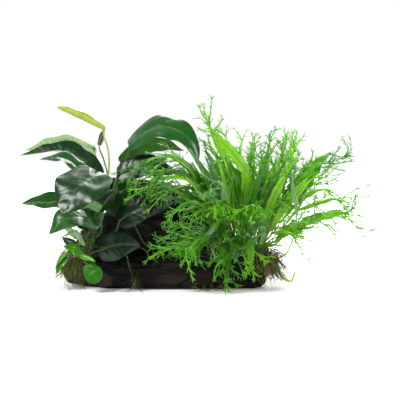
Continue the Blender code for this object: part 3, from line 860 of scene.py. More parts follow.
def leaf_outline(share, rounded):
    """Return half the blade's width at a share of its length, at most 1."""
    if rounded:
        return 2.0 * np.sqrt(share * (1 - share))
    return 2.36 * share**0.45 * (1 - share) ** 0.9


lengthwise = np.linspace(0, 1, 101)
widest = lengthwise[leaf_outline(lengthwise, False).argmax()]
print("a pointed blade is widest at", round(float(widest), 2), "of its length")


def add_blade(bundle, leaf, rng, youth, lobes, rounded):
    """Add a leaf blade with its midrib, sagging between its side veins and wavy at its margins.

    A blade that is folded by more than ROLLED_FROM degrees is rolled up instead.
    """
    shares = np.linspace(0.0005, 0.9995, BLADE_ROWS)
    centres = smooth_route(leaf.blade, shares)
    length = length_of(centres)
    sides, ups, along = frames(centres, np.array(leaf.face, float), np.argmin(abs(shares - MIDWAY)))
    angles = np.linspace(0, 2 * math.pi, BLADE_AROUND, endpoint=False)[None]
    flat, above = np.cos(angles), np.sin(angles)
    across = np.sign(flat) * np.abs(flat) ** 1.25
    share = shares[:, None]
    half = leaf.width * leaf_outline(share, rounded)
    x = half * across
    vein = (share * length - 0.5 * np.abs(x) - 0.02 * x**2) / VEIN_SPACING
    fold = math.radians(leaf.fold)
    rise = half * (np.abs(across) * math.sin(fold) - LEAF_CAMBER * across**2)
    uneven = 0.08 * np.sin(9 * share + 3 * across + rng.uniform(0, 6))
    quilt = np.sin(2 * math.pi * vein) * (QUILT_DEPTH + uneven)
    quilt = quilt * (1 - across**4) * np.minimum(1, np.abs(x) / 3)
    spread = np.stack([share * length + 0 * x, x, 0 * x + rng.uniform(0, 99)], axis=-1)
    swell = cloudy(spread.reshape(-1, 3), *SWELL_SIZES).reshape(x.shape) * min(1.1, leaf.width / 16)
    phases = np.where(across > 0, *rng.uniform(0, 6, 2))
    margin = np.sin(2 * math.pi * share * length / rng.uniform(21, 30) + phases)
    margin = MARGIN_WAVE * margin * np.abs(across) ** 3 * np.sin(math.pi * share)
    margin = margin * min(1, leaf.width / 14)
    midrib = np.exp(-((x / 1.2) ** 2)) * (1 - share) ** 0.6
    skin = LEAF_SKIN * above - np.where(above < 0, RIB_BELOW, RIB_ABOVE) * midrib
    tipped = x * math.cos(fold)
    if leaf.fold > ROLLED_FROM:
        roll = 2 * fold
        tipped = half * np.sin(roll * across) / roll
        rise = half * (1 - np.cos(roll * across)) / roll
    lobe = lobes * leaf.width * across**2 * np.exp(-(((share - 0.07) / 0.12) ** 2))
    lift = (rise + quilt + swell + margin + skin)[..., None]
    points = centres[:, None] + sides[:, None] * tipped[..., None] + ups[:, None] * lift
    points = points - along[:, None] * lobe[..., None]
    under = ease(-above, -0.15, 0.15) + 0 * x
    bundle.skin(points, under=under, across=x, vein=vein, youth=youth)


def add_stalk(bundle, points, radii, around, youth):
    """Add a leaf's stalk, as a tube."""
    shares = np.linspace(0, 1, 18)
    radius = np.interp(shares, np.linspace(0, 1, len(radii)), radii)
    route = smooth_route(points, shares)
    bundle.tube(route, radius, around, under=0.35, across=30.0, vein=0.75, youth=youth)


# %% [markdown]
# ## The leaf's finish
#
# Real leaves darken as they age, and old ones are nearly black. One finish for all of them reads the
# mark "youth", where a material for each leaf would say the same thing many times. The other marks do
# the drawing: "under" tells the pale underside from the face, "across" is the distance from the
# midrib, and "vein" grows by one from each side vein to the next. A trace of light passes through,
# which keeps the shaded leaves from going dead.

# %% Colour and gloss of the anubias leaves
def leaf_finish():
    """Return the finish of the anubias leaves, from the oldest to the youngest."""
    leaf = Finish("anubias_leaf")
    place = leaf.place()
    mottle = leaf.cloud(place, 70.0, 4.0)
    pores = leaf.cloud(place, 900.0, 3.0)
    youth = leaf.mark("youth")
    face = leaf.ramp(youth, [
        (0.0, paint(6, 22, 10)),
        (0.1, paint(9, 38, 14)),
        (0.2, paint(22, 68, 25)),
        (0.33, paint(28, 92, 10)),
        (0.45, paint(70, 142, 20)),
        (0.66, paint(92, 138, 76)),
        (1.0, paint(134, 152, 40)),
    ])
    back = leaf.ramp(youth, [
        (0.0, paint(84, 132, 64)),
        (0.33, paint(84, 150, 40)),
        (0.66, paint(148, 184, 122)),
        (1.0, paint(150, 164, 56)),
    ])
    blade = leaf.mix(leaf.mark("under"), face, back)
    line = leaf.fade(leaf.wave(leaf.mark("vein") + 0.25), 0.9, 1.0)
    rib = leaf.fade(leaf.size(leaf.mark("across")), 1.1, 0.3)
    blade = leaf.mix(line * 0.04 + rib * 0.12, blade, paint(120, 160, 84))
    blade = leaf.mix(leaf.fade(mottle, 0.45, 0.75) * 0.25, blade, paint(18, 46, 22))
    shader = leaf.node("ShaderNodeBsdfPrincipled", {}, {
        "Base Color": blade,
        "Roughness": 0.18 + mottle * 0.22 + leaf.mark("under") * 0.25,
        "Specular IOR Level": 0.34,
        "Normal": leaf.bump(pores * 0.2 - line * 0.1, 0.0002),
    })
    leaf.close(shader, 0.1, paint(120, 190, 50))
    return leaf


leaf_surface = leaf_finish()
print("leaf finish has", len(leaf_surface.material.node_tree.nodes), "nodes")

# %% A whole leaf
LEAF_SEED = 100
STALK_AROUND = 10
STALK_YOUTH = 0.15
STALK_RADII = (1.5, 1.05, 0.95, 1.0, 0.5)


def add_leaf(bundle, number, leaf):
    """Add a leaf, its stalk and blade, at its place in the plant."""
    rng = np.random.default_rng(LEAF_SEED + number)
    stem = "anubias_rhizome" if leaf.stem == "main" else "anubias_side_shoot"
    youth = LEAF_YOUTH[leaf.tone] + rng.uniform(0, 0.04)
    add_blade(bundle, leaf, rng, youth, WIDE_LOBES.get(number, LEAF_LOBE), number in ROUND_LEAVES)
    start = petiole_start(stem, leaf.place, leaf.stalk[0])
    heel = smooth_route(leaf.blade, (0.0, 0.05, 0.12))
    slim = min(1.0, 0.5 + leaf.width / 26)
    radii = slim * np.array(STALK_RADII)
    add_stalk(bundle, [*start, *leaf.stalk, *heel], radii, STALK_AROUND, max(youth, STALK_YOUTH))


# %% Build the anubias leaves
FIRST_SMALL = 31
leaf_faces = 0
for number, leaf in enumerate(LEAVES, 1):
    bundle = Bundle()
    add_leaf(bundle, number, leaf)
    name = f"leaf_{number:02d}"
    leaf_faces += bundle.piece(name, leaf_surface, "anubias_leaf", "anubias_" + name)
bundle = Bundle()
for number, leaf in enumerate(SMALL_LEAVES, FIRST_SMALL):
    add_leaf(bundle, number, leaf)
leaf_faces += bundle.piece("small_leaves", leaf_surface, "anubias_leaf")
print("anubias leaves", leaf_faces, "triangles")

# %% [markdown]
# ## Fern fronds
#
# A frond of a crested java fern is a thin stalk, a strap with a brown midrib and wavy margins, and a
# crest where the tip breaks up into strands a millimetre or two wide, fingered on both sides and
# forked at the end. The strap is one skin over flattened rings. The crest is grown by rule: a strand
# adds its own ribbon, then its fingers, most with a spur, and then one more strand that splits off it.
# Hair could draw the crest too, but only meshes become part of the object. A few fronds have their own
# form, with a fuller, longer or shorter crest or a longer bare stalk.

# %% Where each frond stands
Frond = namedtuple("Frond", "stem place strap crest face tone route")
FRONDS = (
    Frond("front", 41, 3.5, 8, (0, -0.5, 0.85), "leafy",
          [(44, -32, 54), (38, -52, 80), (26, -58, 90), (13, -60, 88), (3, -60, 79), (-8, -60, 67)]),
    Frond("front", 44, 3.5, 8, (0, -0.7, 0.7), "deep",
          [(43, -18, 56), (35, -16, 89), (18, -16, 100), (0, -17, 100), (-15, -18, 95), (-33, -19, 86)]),
    Frond("front", 47.5, 4, 9, (0, -0.8, 0.6), "deep",
          [(47, -30, 60), (30, -44, 99), (10, -48, 118), (-7, -50, 118), (-22, -50, 112),
           (-56, -50, 101)]),
    Frond("front", 51, 4.5, 10, (0, -0.8, 0.6), "deep",
          [(49, -26, 66), (31, -36, 104), (17, -42, 124), (1, -44, 133), (-14, -44, 131),
           (-31, -42, 121), (-64, -40, 112)]),
    Frond("front", 54.5, 3, 8, (0, -0.7, 0.7), "leafy",
          [(50, -33, 47), (43, -42, 54), (34, -48, 49), (22, -51, 42), (10, -53, 38), (-10, -55, 40)]),
    Frond("front", 58, 4, 10, (0, -0.6, 0.8), "bright",
          [(55, -33, 56), (52, -44, 70), (46, -54, 68), (36, -60, 57), (24, -64, 50), (4, -67, 47),
           (-22, -69, 54)]),
    Frond("front", 61.5, 5, 7, (0, -0.9, 0.4), "deep",
          [(63, -20, 60), (66, -21, 92), (56, -22, 109), (46, -22, 122), (38, -22, 133),
           (28, -22, 147)]),
    Frond("front", 65, 4.5, 9, (0, 0.3, 0.9), "bright",
          [(63, -34, 60), (57, -48, 84), (51, -60, 92), (45, -72, 90), (40, -86, 80)]),
    Frond("front", 68.5, 6.5, 9, (0, -0.9, 0.4), "lime",
          [(70, -16, 60), (72, -12, 90), (75, -10, 114), (62, -9, 134), (46, -8, 151), (36, -7, 165),
           (30, -6, 187)]),
    Frond("front", 72, 5, 11, (0, -0.8, 0.6), "deep",
          [(71, -33, 48), (67, -42, 55), (61, -48, 45), (57, -51, 32), (56, -53, 20), (56, -56, 3)]),
    Frond("front", 76, 4.5, 10, (0, 0.3, 0.9), "bright",
          [(77, -32, 58), (78, -46, 80), (80, -60, 88), (82, -74, 85), (84, -89, 75)]),
    Frond("front", 80, 4, 8, (0, -0.8, 0.6), "bright",
          [(80, -33, 46), (79, -43, 54), (79, -50, 44), (79, -54, 30), (80, -58, 7)]),
    Frond("front", 83, 4.5, 10, (0, 0.3, 0.9), "bright",
          [(88, -34, 62), (98, -48, 82), (108, -60, 88), (117, -70, 84), (126, -80, 74)]),
    Frond("front", 86.5, 3.5, 8, (0, -0.5, 0.85), "lime",
          [(93, -34, 49), (103, -46, 59), (114, -54, 60), (126, -60, 52), (140, -64, 41)]),
    Frond("front", 90, 3.5, 8, (0, -0.7, 0.7), "lime",
          [(99, -24, 52), (113, -27, 72), (129, -30, 89), (146, -33, 99), (160, -35, 99),
           (181, -37, 79)]),
    Frond("front", 93.5, 6, 10, (0, -0.8, 0.6), "bright",
          [(105, -22, 45), (117, -24, 58), (129, -26, 65), (149, -28, 72), (167, -29, 76),
           (202, -30, 61)]),
    Frond("front", 97, 3.5, 8, (0, -0.9, 0.3), "misty",
          [(105, -30, 32), (113, -35, 36), (121, -40, 54), (124, -44, 79), (119, -47, 111),
           (121, -47, 126), (118, -46, 147)]),
    Frond("back", 56, 5, 9, (0, 0.4, 0.8), "bright",
          [(57, 13, 62), (54, 22, 92), (50, 32, 118), (44, 40, 134), (36, 48, 146)]),
    Frond("back", 61, 5, 8, (0, -0.9, 0.4), "lime",
          [(65, 1, 60), (66, 4, 95), (57, 6, 124), (44, 7, 146), (33, 8, 170)]),
    Frond("back", 68, 5, 9, (0, 0.4, 0.8), "deep",
          [(72, 12, 62), (77, 22, 98), (82, 32, 124), (86, 42, 136), (90, 54, 142)]),
    Frond("back", 75, 5.5, 12, (0, -0.9, 0.4), "bright",
          [(82, 1, 60), (90, 2, 95), (96, 4, 125), (99, 5, 143), (99, 6, 163)]),
    Frond("back", 80, 4.5, 9, (0, 0.5, 0.8), "bright",
          [(86, 14, 60), (96, 28, 92), (106, 40, 114), (114, 52, 126), (122, 66, 128)]),
    Frond("back", 84, 4.5, 9, (0, 0.3, 0.9), "bright",
          [(95, 17, 54), (112, 30, 80), (128, 44, 98), (142, 56, 104), (156, 69, 99)]),
    Frond("back", 87.5, 5, 11, (0, -0.9, 0.4), "lime",
          [(93, -8, 58), (107, -13, 98), (119, -16, 124), (122, -17, 141), (124, -17, 168)]),
    Frond("back", 90.5, 4, 11, (0, -0.4, 0.9), "lime",
          [(104, 8, 58), (120, 13, 80), (138, 16, 97), (152, 18, 106), (170, 20, 120)]),
    Frond("back", 93.5, 8.4, 12, (0, -0.8, 0.6), "leafy",
          [(102, -2, 58), (114, -5, 76), (130, -6, 97), (145, -6, 120), (157, -6, 132), (188, -6, 112)]),
    Frond("back", 96, 3, 7, (0, -0.7, 0.7), "lime",
          [(107, -8, 50), (127, -14, 77), (142, -15, 82), (165, -16, 88), (178, -16, 84),
           (208, -16, 78)]),
    Frond("back", 98, 3.5, 9, (0, -0.4, 0.9), "lime",
          [(106, 9, 42), (112, 14, 46), (121, 18, 51), (134, 22, 62), (147, 25, 71)]),
)
# A tall frond's tone is partly its own green and partly painted shade: the deep fronds are painted darker
# where they hang in shade.
FROND_TONES = {"misty": 0.0, "deep": 0.32, "leafy": 0.46, "bright": 0.66, "lime": 0.9}
print("fern fronds", len(FRONDS))

# %% Ribbons, fingers and strands
RIBBON_THICKNESS = 0.3
STRAND_WIDTHS = np.array((1.05, 0.95, 0.85, 0.78, 0.72, 0.66, 0.6, 0.52))
FINGER_WIDTHS = np.array((0.56, 0.5, 0.44, 0.24))
SPUR_WIDTHS = np.array((0.44, 0.38, 0.2))
STRAND_DROOP = np.array((0, 0, -0.25))
STRAND_BEND = 0.5
# What each finger, spur, fork and split is drawn from: leans in degrees, reaches and gaps in mm.
FINGER_LEAN = (20, 50)
FINGER_TWIST = 24
FINGER_REACH = (3.5, 11.5)
FINGER_GAP = (3.5, 10.5)
FINGER_BEND = 0.35
SPUR_FROM = 3.5
SPUR_ODDS = 0.7
SPUR_LEAN = (30, 55)
FORK_LEAN = (10, 32)
FORK_REACH = (3.5, 7)
SPLIT_LEAN = (18, 42)
SPLIT_REACH = (0.5, 0.8)


def turned(heading, side, degrees):
    """Turn a heading towards its side by an angle."""
    angle = math.radians(degrees)
    return unit(heading * math.cos(angle) + side * math.sin(angle))


def add_ribbon(bundle, start, heading, side, length, widths, bend, tone, growth):
    """Add a thin flat ribbon that bends as it goes, and return the line, headings and sides along it."""
    steps = np.linspace(0, 1, len(widths))[:, None]
    headings = unit(heading + bend * steps)
    walk = np.vstack([[0, 0, 0], np.cumsum(headings[:-1], axis=0)])
    centres = start + walk * length / (len(widths) - 1)
    sides = unit(side - headings * (headings @ side)[:, None])
    ups = np.cross(headings, sides)
    half = widths[:, None, None]
    flat = np.array((1, 0, -1, 0))[None, :, None] * half
    high = np.array((0, 1, 0, -1))[None, :, None] * np.minimum(RIBBON_THICKNESS, half * 0.6)
    rings = centres[:, None] + sides[:, None] * flat + ups[:, None] * high
    bundle.skin(rings, growth=growth + 0.12 * steps[:, 0], across=9.0, tone=tone)
    return centres, headings, sides


def add_finger(bundle, rng, start, heading, side, length, tone, growth):
    """Add a side finger, which mostly forks once."""
    bend = rng.normal(0, FINGER_BEND, 3)
    centres, headings, sides = add_ribbon(
        bundle, start, heading, side, length, FINGER_WIDTHS, bend, tone, growth)
    if length > SPUR_FROM and rng.random() < SPUR_ODDS:
        spur = turned(headings[1], sides[1], rng.choice((-1, 1)) * rng.uniform(*SPUR_LEAN))
        spur = turned(spur, np.cross(headings[1], sides[1]), rng.normal(0, 20))
        place = centres[rng.integers(1, 3)]
        reach = length * rng.uniform(0.35, 0.65)
        add_ribbon(bundle, place, spur, sides[1], reach, SPUR_WIDTHS, bend, tone, growth + 0.1)


def add_strand(bundle, rng, start, heading, side, length, tone, growth=0.62, splits=1):
    """Add a strand of a crest: a bending ribbon, fingered on both margins, that forks at its end."""
    bend = rng.normal(0, STRAND_BEND, 3) + STRAND_DROOP
    widths = STRAND_WIDTHS * rng.uniform(0.75, 1.05)
    centres, headings, sides = add_ribbon(bundle, start, heading, side, length, widths, bend, tone, growth)
    last = len(centres) - 1
    way = rng.choice((-1, 1))
    share = rng.uniform(0.1, 0.3)
    while share < 0.95:
        row = int(share * last)
        root = centres[row] + (centres[row + 1] - centres[row]) * (share * last - row)
        lean = turned(headings[row], sides[row], way * rng.uniform(*FINGER_LEAN))
        lean = turned(lean, np.cross(headings[row], sides[row]), rng.normal(0, FINGER_TWIST))
        reach = min(rng.uniform(*FINGER_REACH), length * 0.6) * (1.15 - 0.5 * share)
        add_finger(bundle, rng, root, lean, sides[row], reach, tone, growth + 0.14)
        share += rng.uniform(*FINGER_GAP) / length
        way = -way if rng.random() < 0.8 else way
    for way in (-1, 1):
        lean = turned(headings[-1], sides[-1], way * rng.uniform(*FORK_LEAN))
        reach = min(rng.uniform(*FORK_REACH), length * 0.5)
        add_finger(bundle, rng, centres[-1], lean, sides[-1], reach, tone, growth + 0.2)
    if splits:
        row = rng.integers(2, 5)
        lean = turned(headings[row], sides[row], way * rng.uniform(*SPLIT_LEAN))
        lean = turned(lean, np.cross(headings[row], sides[row]), rng.normal(0, FINGER_TWIST))
        reach = length * rng.uniform(*SPLIT_REACH)
        add_strand(bundle, rng, centres[row], lean, sides[row], reach, tone, growth + 0.08, splits - 1)


trial = Bundle()
add_strand(trial, np.random.default_rng(0), (0, 0, 0), np.array((0, 0, 1)), np.array((1, 0, 0)), 30, 0.5)
print("a strand of 30 mm has", len(trial.points), "ribbons")

# %% The strap, with its stalk
STRAP_AROUND = 12
WIDEST_STATION = 0.6
STALK_RADIUS = 0.65


def strap_outline(share, foot):
    """Return the strap's half-width at a share of its length, at most 1, above a bare stalk."""
    return ease(share, foot, foot + 0.4) * (1 - 0.75 * ease(share, 0.74, 1.0))


def add_strap(bundle, rng, points, face, width, tone, rows, end, foot):
    """Add the stalk and strap of a frond. Return the lie and half-width of its rings, and its length."""
    length = length_of(smooth_route(points, np.linspace(0, 1, 60)))
    shares = np.linspace(0, end, rows)
    centres = smooth_route(points, shares)
    sides, ups, along = frames(centres, np.array(face, float), np.argmin(abs(shares - WIDEST_STATION)))
    share = shares[:, None]
    angles = np.linspace(0, 2 * math.pi, STRAP_AROUND, endpoint=False)[None]
    across, above = np.cos(angles), np.sin(angles)
    phases = np.where(across > 0, *rng.uniform(0, 6, 2))
    beat = 2 * math.pi * share * length
    wide = width * strap_outline(share / end, foot)
    wide = wide * (1 + 0.13 * np.sin(beat / rng.uniform(10, 16) + phases * 2))
    half = np.maximum(wide, STALK_RADIUS)
    flat = ease(wide, 0.6, 2.4)
    x = half * across
    rib = np.exp(-((x / 0.8) ** 2))
    skin = (1 - flat) * STALK_RADIUS * 0.9 * (1 - 0.5 * share / end) + flat * (0.2 + 0.4 * rib)
    ruffle = rng.uniform(0.1, 0.24) * width * np.sin(beat / rng.uniform(15, 24) + phases)
    ruffle = ruffle * flat * np.abs(across) ** 2.2
    puckers = 0.16 * np.sin(beat / 3.4 + 2.0 * np.abs(across)) * flat * np.abs(across) * (1 - across**2)
    lift = (skin * above + ruffle + puckers + 0.1 * half * flat * np.abs(across))[..., None]
    rings = centres[:, None] + sides[:, None] * x[..., None] + ups[:, None] * lift
    shade = np.where(flat > 0.3, np.abs(x), 9.0) + 0 * x
    bundle.skin(rings, growth=share * 0.62 / end + 0 * x, across=shade, tone=tone)
    return centres, sides, ups, along, half[:, 0], length


# %% A whole frond
Form = namedtuple("Form", "lush lace foot")
STRAP_ROWS = 70
LACE = 0.23
LACE_START = 0.68
FOOT = 0.22
PLAIN = Form(1.0, LACE, FOOT)
STRAP_SHARE = 0.85
STRANDS_PER_CREST = 0.55
CREST_FAN = (12, 45)
STRAND_SHARE = (0.65, 1.05)
SPLIT_FROM = 14
TONE_SPREAD = 0.16


def add_frond(bundle, rng, frond, tone, form, rows):
    """Add a frond: stalk, strap, and the strands of its crest, the outer ones from the strap's margins.

    Its form says how many strands it has, and how much of its length is crest and bare stalk.
    """
    start = petiole_start(f"fern_rhizome_{frond.stem}", frond.place, frond.route[0])
    points = [*start, *frond.route]
    width = frond.strap * STRAP_SHARE
    centres, sides, ups, along, half, length = add_strap(
        bundle, rng, points, frond.face, width, tone, rows, 1 - form.lace, form.foot)
    onward = unit(np.array(points[-1], float) - centres[-1])
    count = max(3, round(frond.crest * STRANDS_PER_CREST * form.lush))
    for order in range(count):
        lean = 2 * order / (count - 1) - 1
        low = LACE_START + (1 - LACE_START) * (1 - abs(lean)) * rng.uniform(0.7, 1.3)
        row = min(rows - 1, int(low * rows))
        root = centres[row] + sides[row] * lean * half[row] * 0.8
        heading = unit(along[row] + 1.6 * onward)
        heading = turned(heading, sides[row], lean * rng.uniform(*CREST_FAN) + rng.normal(0, 7))
        heading = turned(heading, ups[row], rng.normal(0, 15))
        splits = 1 if length * form.lace > SPLIT_FROM else 0
        reach = length * form.lace * rng.uniform(*STRAND_SHARE)
        shade = tone + rng.uniform(-TONE_SPREAD, TONE_SPREAD)
        add_strand(bundle, rng, root, heading, sides[row], reach, shade, splits=splits)


# %% [markdown]
# ## The frond's finish
#
# Fronds are thin and wet, so much of their green is light that comes through from behind. Full
# subsurface light would be slow in thousands of strands, and a share of plain see-through light looks
# the same in parts this thin. The colour runs along the frond with the mark "growth": straw-brown at
# the foot, full green in the strap and yellow-green in the fingers. The brown midrib is the part where
# "across" is small.

# %% Colour of the fern
def fern_finish():
    """Return the finish of the fern's fronds, in every tone from misty to lime."""
    fern = Finish("fern_frond")
    place = fern.place()
    mottle = fern.cloud(place, 110.0, 4.0)
    cells = fern.cloud(place, 700.0, 3.0)
    growth = fern.mark("growth")
    # The tone mark is partly painted shade and light: low tones darken fronds that hang in shade, high
    # ones lighten fronds out in the light.
    tone = fern.mark("tone") + (mottle - 0.5) * 0.35
    strap = fern.ramp(tone, [
        (0.0, paint(122, 168, 112)),
        (0.3, paint(30, 94, 4)),
        (0.6, paint(72, 152, 4)),
        (0.95, paint(136, 200, 30)),
    ])
    strap = fern.mix(fern.fade(growth, 0.7, 1.0) * 0.5, strap, paint(112, 196, 16))
    straw = fern.mix(mottle, paint(112, 142, 36), paint(84, 72, 24))
    body = fern.mix(fern.fade(growth, 0.3, 0.08), strap, straw)
    rib = fern.fade(fern.mark("across"), 0.55, 0.25) * fern.fade(growth, 0.62, 0.5)
    body = fern.mix(rib * 0.75, body, paint(104, 66, 10))
    body = fern.mix(fern.fade(cells, 0.5, 0.8) * 0.25, body, paint(20, 70, 6))
    shader = fern.node("ShaderNodeBsdfPrincipled", {}, {
        "Base Color": body,
        "Roughness": 0.2 + cells * 0.2,
        "Specular IOR Level": 0.5,
        "Normal": fern.bump(cells, 0.0004),
    })
    fern.close(shader, 0.32, paint(150, 220, 4))
    return fern


fern_surface = fern_finish()
print("fern finish has", len(fern_surface.material.node_tree.nodes), "nodes")

# %% Build the fronds
FROND_SEED = 200
FORMS = {
    2: Form(1.3, LACE, FOOT),
    3: Form(1.4, 0.3, FOOT),
    4: Form(1.5, 0.3, FOOT),
    6: Form(1.2, LACE, FOOT),
    7: Form(0.5, 0.1, FOOT),
    9: Form(1.0, 0.17, FOOT),
    17: Form(1.0, LACE, 0.48),
    18: Form(0.6, 0.14, FOOT),
    19: Form(0.6, 0.14, FOOT),
    21: Form(0.8, 0.2, FOOT),
    26: Form(0.8, LACE, 0.3),
}
frond_faces = 0
for number, frond in enumerate(FRONDS, 1):
    rng = np.random.default_rng(FROND_SEED + number)
    bundle = Bundle()
    tone = FROND_TONES[frond.tone] + rng.uniform(-0.08, 0.08)
    add_frond(bundle, rng, frond, tone, FORMS.get(number, PLAIN), STRAP_ROWS)
    name = f"frond_{number:02d}"
    frond_faces += bundle.piece(name, fern_surface, "fern_frond", "fern_" + name)
print("fern fronds", frond_faces, "triangles")

# %% [markdown]
# ## Younger fronds
#
# Between the tall fronds grow many smaller ones, too many for one object each, so each creeping stem
# has one piece for all of its own. Some follow a tall frond at a little distance, which fills the
# plant without changing its outline. Eight are placed one by one, and five single strands spring from the
# sides of tall fronds. The rest come in sprays: fronds along a stretch of the stem that fan out from
# one lean to another, each with a length, a bow and a tilt to the front drawn from its spray's range.

# %% Fronds beside fronds
LOWEST = 5
FOLLOWER_STEP = (3.5, 9, 3.5)
FOLLOWER_SIZE = (0.74, 0.96)
SPRUNG_STEPS = 7


def beside(frond, rng):
    """Return a smaller frond that grows beside this one."""
    route = np.array(frond.route, float)
    loose = np.linspace(0.15, 1, len(route))[:, None]
    step = rng.normal(0, 1, 3) * FOLLOWER_STEP
    route = route[0] + (route - route[0]) * rng.uniform(*FOLLOWER_SIZE) + loose * step
    route = route + rng.normal(0, 1.2, route.shape) * loose
    route[:, 2] = np.maximum(route[:, 2], LOWEST)
    return frond._replace(
        place=frond.place + rng.uniform(-1.6, 1.6),
        strap=frond.strap * rng.uniform(0.6, 0.95),
        crest=frond.crest * rng.uniform(0.7, 1.0),
        route=route.tolist(),
    )


def sprung(stem, place, lean, depth, length, bow, rng):
    """Return a frond that springs up leaning to the right and to the front, and bows over, in degrees."""
    route = smooth_route(RHIZOMES["fern_rhizome_" + stem][0], np.linspace(0, 1, STEM_PLACES))
    base = route[np.argmax(route[:, 0] >= place)]
    shares = np.linspace(0, 1, SPRUNG_STEPS)
    right = np.radians(lean * (0.7 + 0.5 * shares) + bow * math.copysign(1, lean) * shares**2)
    front = np.radians(depth * (0.5 + shares))
    steps = np.column_stack([np.sin(right), -np.cos(right) * np.sin(front), np.cos(right) * np.cos(front)])
    away = np.array((math.sin(right[0]) * 5, -math.copysign(8, depth), 5.0))
    arched = base + away + np.cumsum(steps, axis=0) * length / SPRUNG_STEPS
    arched[:, 2] = np.maximum(arched[:, 2], LOWEST)
    face = unit(np.array((-math.sin(right[3]), -0.9, 0.4)) + rng.normal(0, 0.45, 3))
    return Frond(stem, place, rng.uniform(2.6, 4.8), rng.uniform(6, 10), face, None, arched.tolist())


# %% Where the younger fronds spring
Spray = namedtuple("Spray", "stem count places lean depth length bow lace lush tones")
# Painted light and shade: sprays out in the light draw their tones from SUNNY and are painted lighter,
# sprays in shade draw them from SHADED and are painted darker.
SUNNY = (0.24, 0.46, 0.84)
SHADED = (0.22, 0.34, 0.6)
SPRAYS = (
    Spray("front", 5, (56, 66), (-47, -32), (3, 14), (82, 104), (0, 25), 0.1, 0.3, SUNNY),
    Spray("front", 14, (60, 74), (-32, -7), (1, 14), (92, 114), (-4, 12), 0.07, 0.3, SUNNY),
    Spray("front", 8, (68, 80), (-7, 7), (3, 18), (58, 82), (0, 20), 0.1, 0.3, SUNNY),
    Spray("front", 11, (74, 90), (7, 36), (3, 14), (82, 104), (0, 22), 0.12, 0.3, SUNNY),
    Spray("front", 12, (42, 76), (-84, -44), (8, 40), (44, 72), (20, 60), 0.3, 0.6, SHADED),
    Spray("front", 8, (52, 74), (-34, 4), (50, 95), (34, 56), (0, 30), 0.3, 0.6, SHADED),
    Spray("front", 2, (84, 97), (45, 75), (5, 30), (60, 90), (0, 40), 0.2, 0.6, SUNNY),
    Spray("back", 16, (56, 92), (-46, 36), (-22, -4), (60, 92), (0, 30), 0.15, 0.5, SHADED),
    Spray("back", 17, (56, 95), (-80, 50), (-85, -35), (44, 84), (10, 50), 0.25, 0.6, SHADED),
)
print("sprays of younger fronds", sum(spray.count for spray in SPRAYS))

# %% Build the younger fronds
YOUNG_ROWS = 44
YOUNG_SEEDS = {"front": 31, "back": 32}
COMPANION = Form(0.6, LACE, FOOT)
TWICE_FOLLOWED = (3,)
NOT_FOLLOWED = (7, 13, 14, 15, 16, 17, 18, 21, 23, 24, 25, 27)
HAND_PLACED = (
    Frond("front", 60, 5, 7, (0, -0.6, 0.8), "misty",
          [(56, -32, 60), (54, -46, 92), (50, -56, 108), (42, -60, 113), (26, -61, 106)]),
    Frond("front", 50, 4.5, 3, (0, -0.8, 0.6), "bright",
          [(53, -34, 42), (54, -44, 40), (50, -50, 33), (44, -53, 24), (38, -54, 19)]),
    Frond("front", 81, 4, 4, (0, -0.8, 0.6), "misty",
          [(88, -34, 46), (92, -40, 58), (90, -46, 64), (84, -49, 63), (78, -51, 56)]),
    Frond("front", 86, 2.4, 3, (0, -0.8, 0.6), "bright",
          [(92, -34, 46), (99, -40, 46), (106, -42, 46), (114, -44, 46)]),
    Frond("back", 70, 3, 10, (0, -0.9, 0.4), "lime",
          [(74, 2, 60), (80, 6, 92), (84, 8, 118), (83, 9, 138), (76, 9, 153)]),
    Frond("back", 80, 3, 11, (0, -0.9, 0.4), "lime",
          [(90, -2, 60), (100, 0, 92), (108, 2, 118), (113, 3, 138), (112, 3, 158)]),
    Frond("back", 84, 3, 11, (0, -0.9, 0.4), "bright",
          [(95, -4, 58), (108, -4, 90), (117, -2, 114), (123, 0, 134), (131, 0, 156)]),
    Frond("back", 88, 3, 10, (0, -0.9, 0.4), "lime",
          [(98, -4, 56), (112, -6, 84), (124, -6, 104), (134, -4, 122), (150, -2, 134)]),
)
SideStrand = namedtuple("SideStrand", "frond share heading length")
SIDE_STRANDS = (
    SideStrand(6, 0.69, (0.02, -0.1, -1), 31),
    SideStrand(6, 0.635, (0.15, 0, -1), 18),
    SideStrand(9, 0.83, (0.15, 0, 1), 27),
    SideStrand(9, 0.82, (-0.7, 0, 1), 18),
    SideStrand(9, 0.78, (0.9, 0, 1), 14),
)
SIDE_TONE = 0.8


def add_companions(bundle, rng, stem):
    """Add the smaller fronds that follow the tall ones of a stem."""
    for number, frond in enumerate(FRONDS, 1):
        if frond.stem != stem or number in NOT_FOLLOWED:
            continue
        for _ in range(2 if number in TWICE_FOLLOWED else 1):
            tone = rng.uniform(0.2, 0.8)
            add_frond(bundle, rng, beside(frond, rng), tone, COMPANION, YOUNG_ROWS)


def add_side_strands(bundle, rng, stem):
    """Add the single strands that spring from the sides of tall fronds."""
    for strand in SIDE_STRANDS:
        frond = FRONDS[strand.frond - 1]
        if frond.stem == stem:
            stalk = petiole_start("fern_rhizome_" + stem, frond.place, frond.route[0])
            start = smooth_route([*stalk, *frond.route], (strand.share,))[0]
            heading = unit(np.array(strand.heading, float))
            flat = np.array((1.0, 0, 0))
            add_strand(bundle, rng, start, heading, flat, strand.length, SIDE_TONE, splits=0)


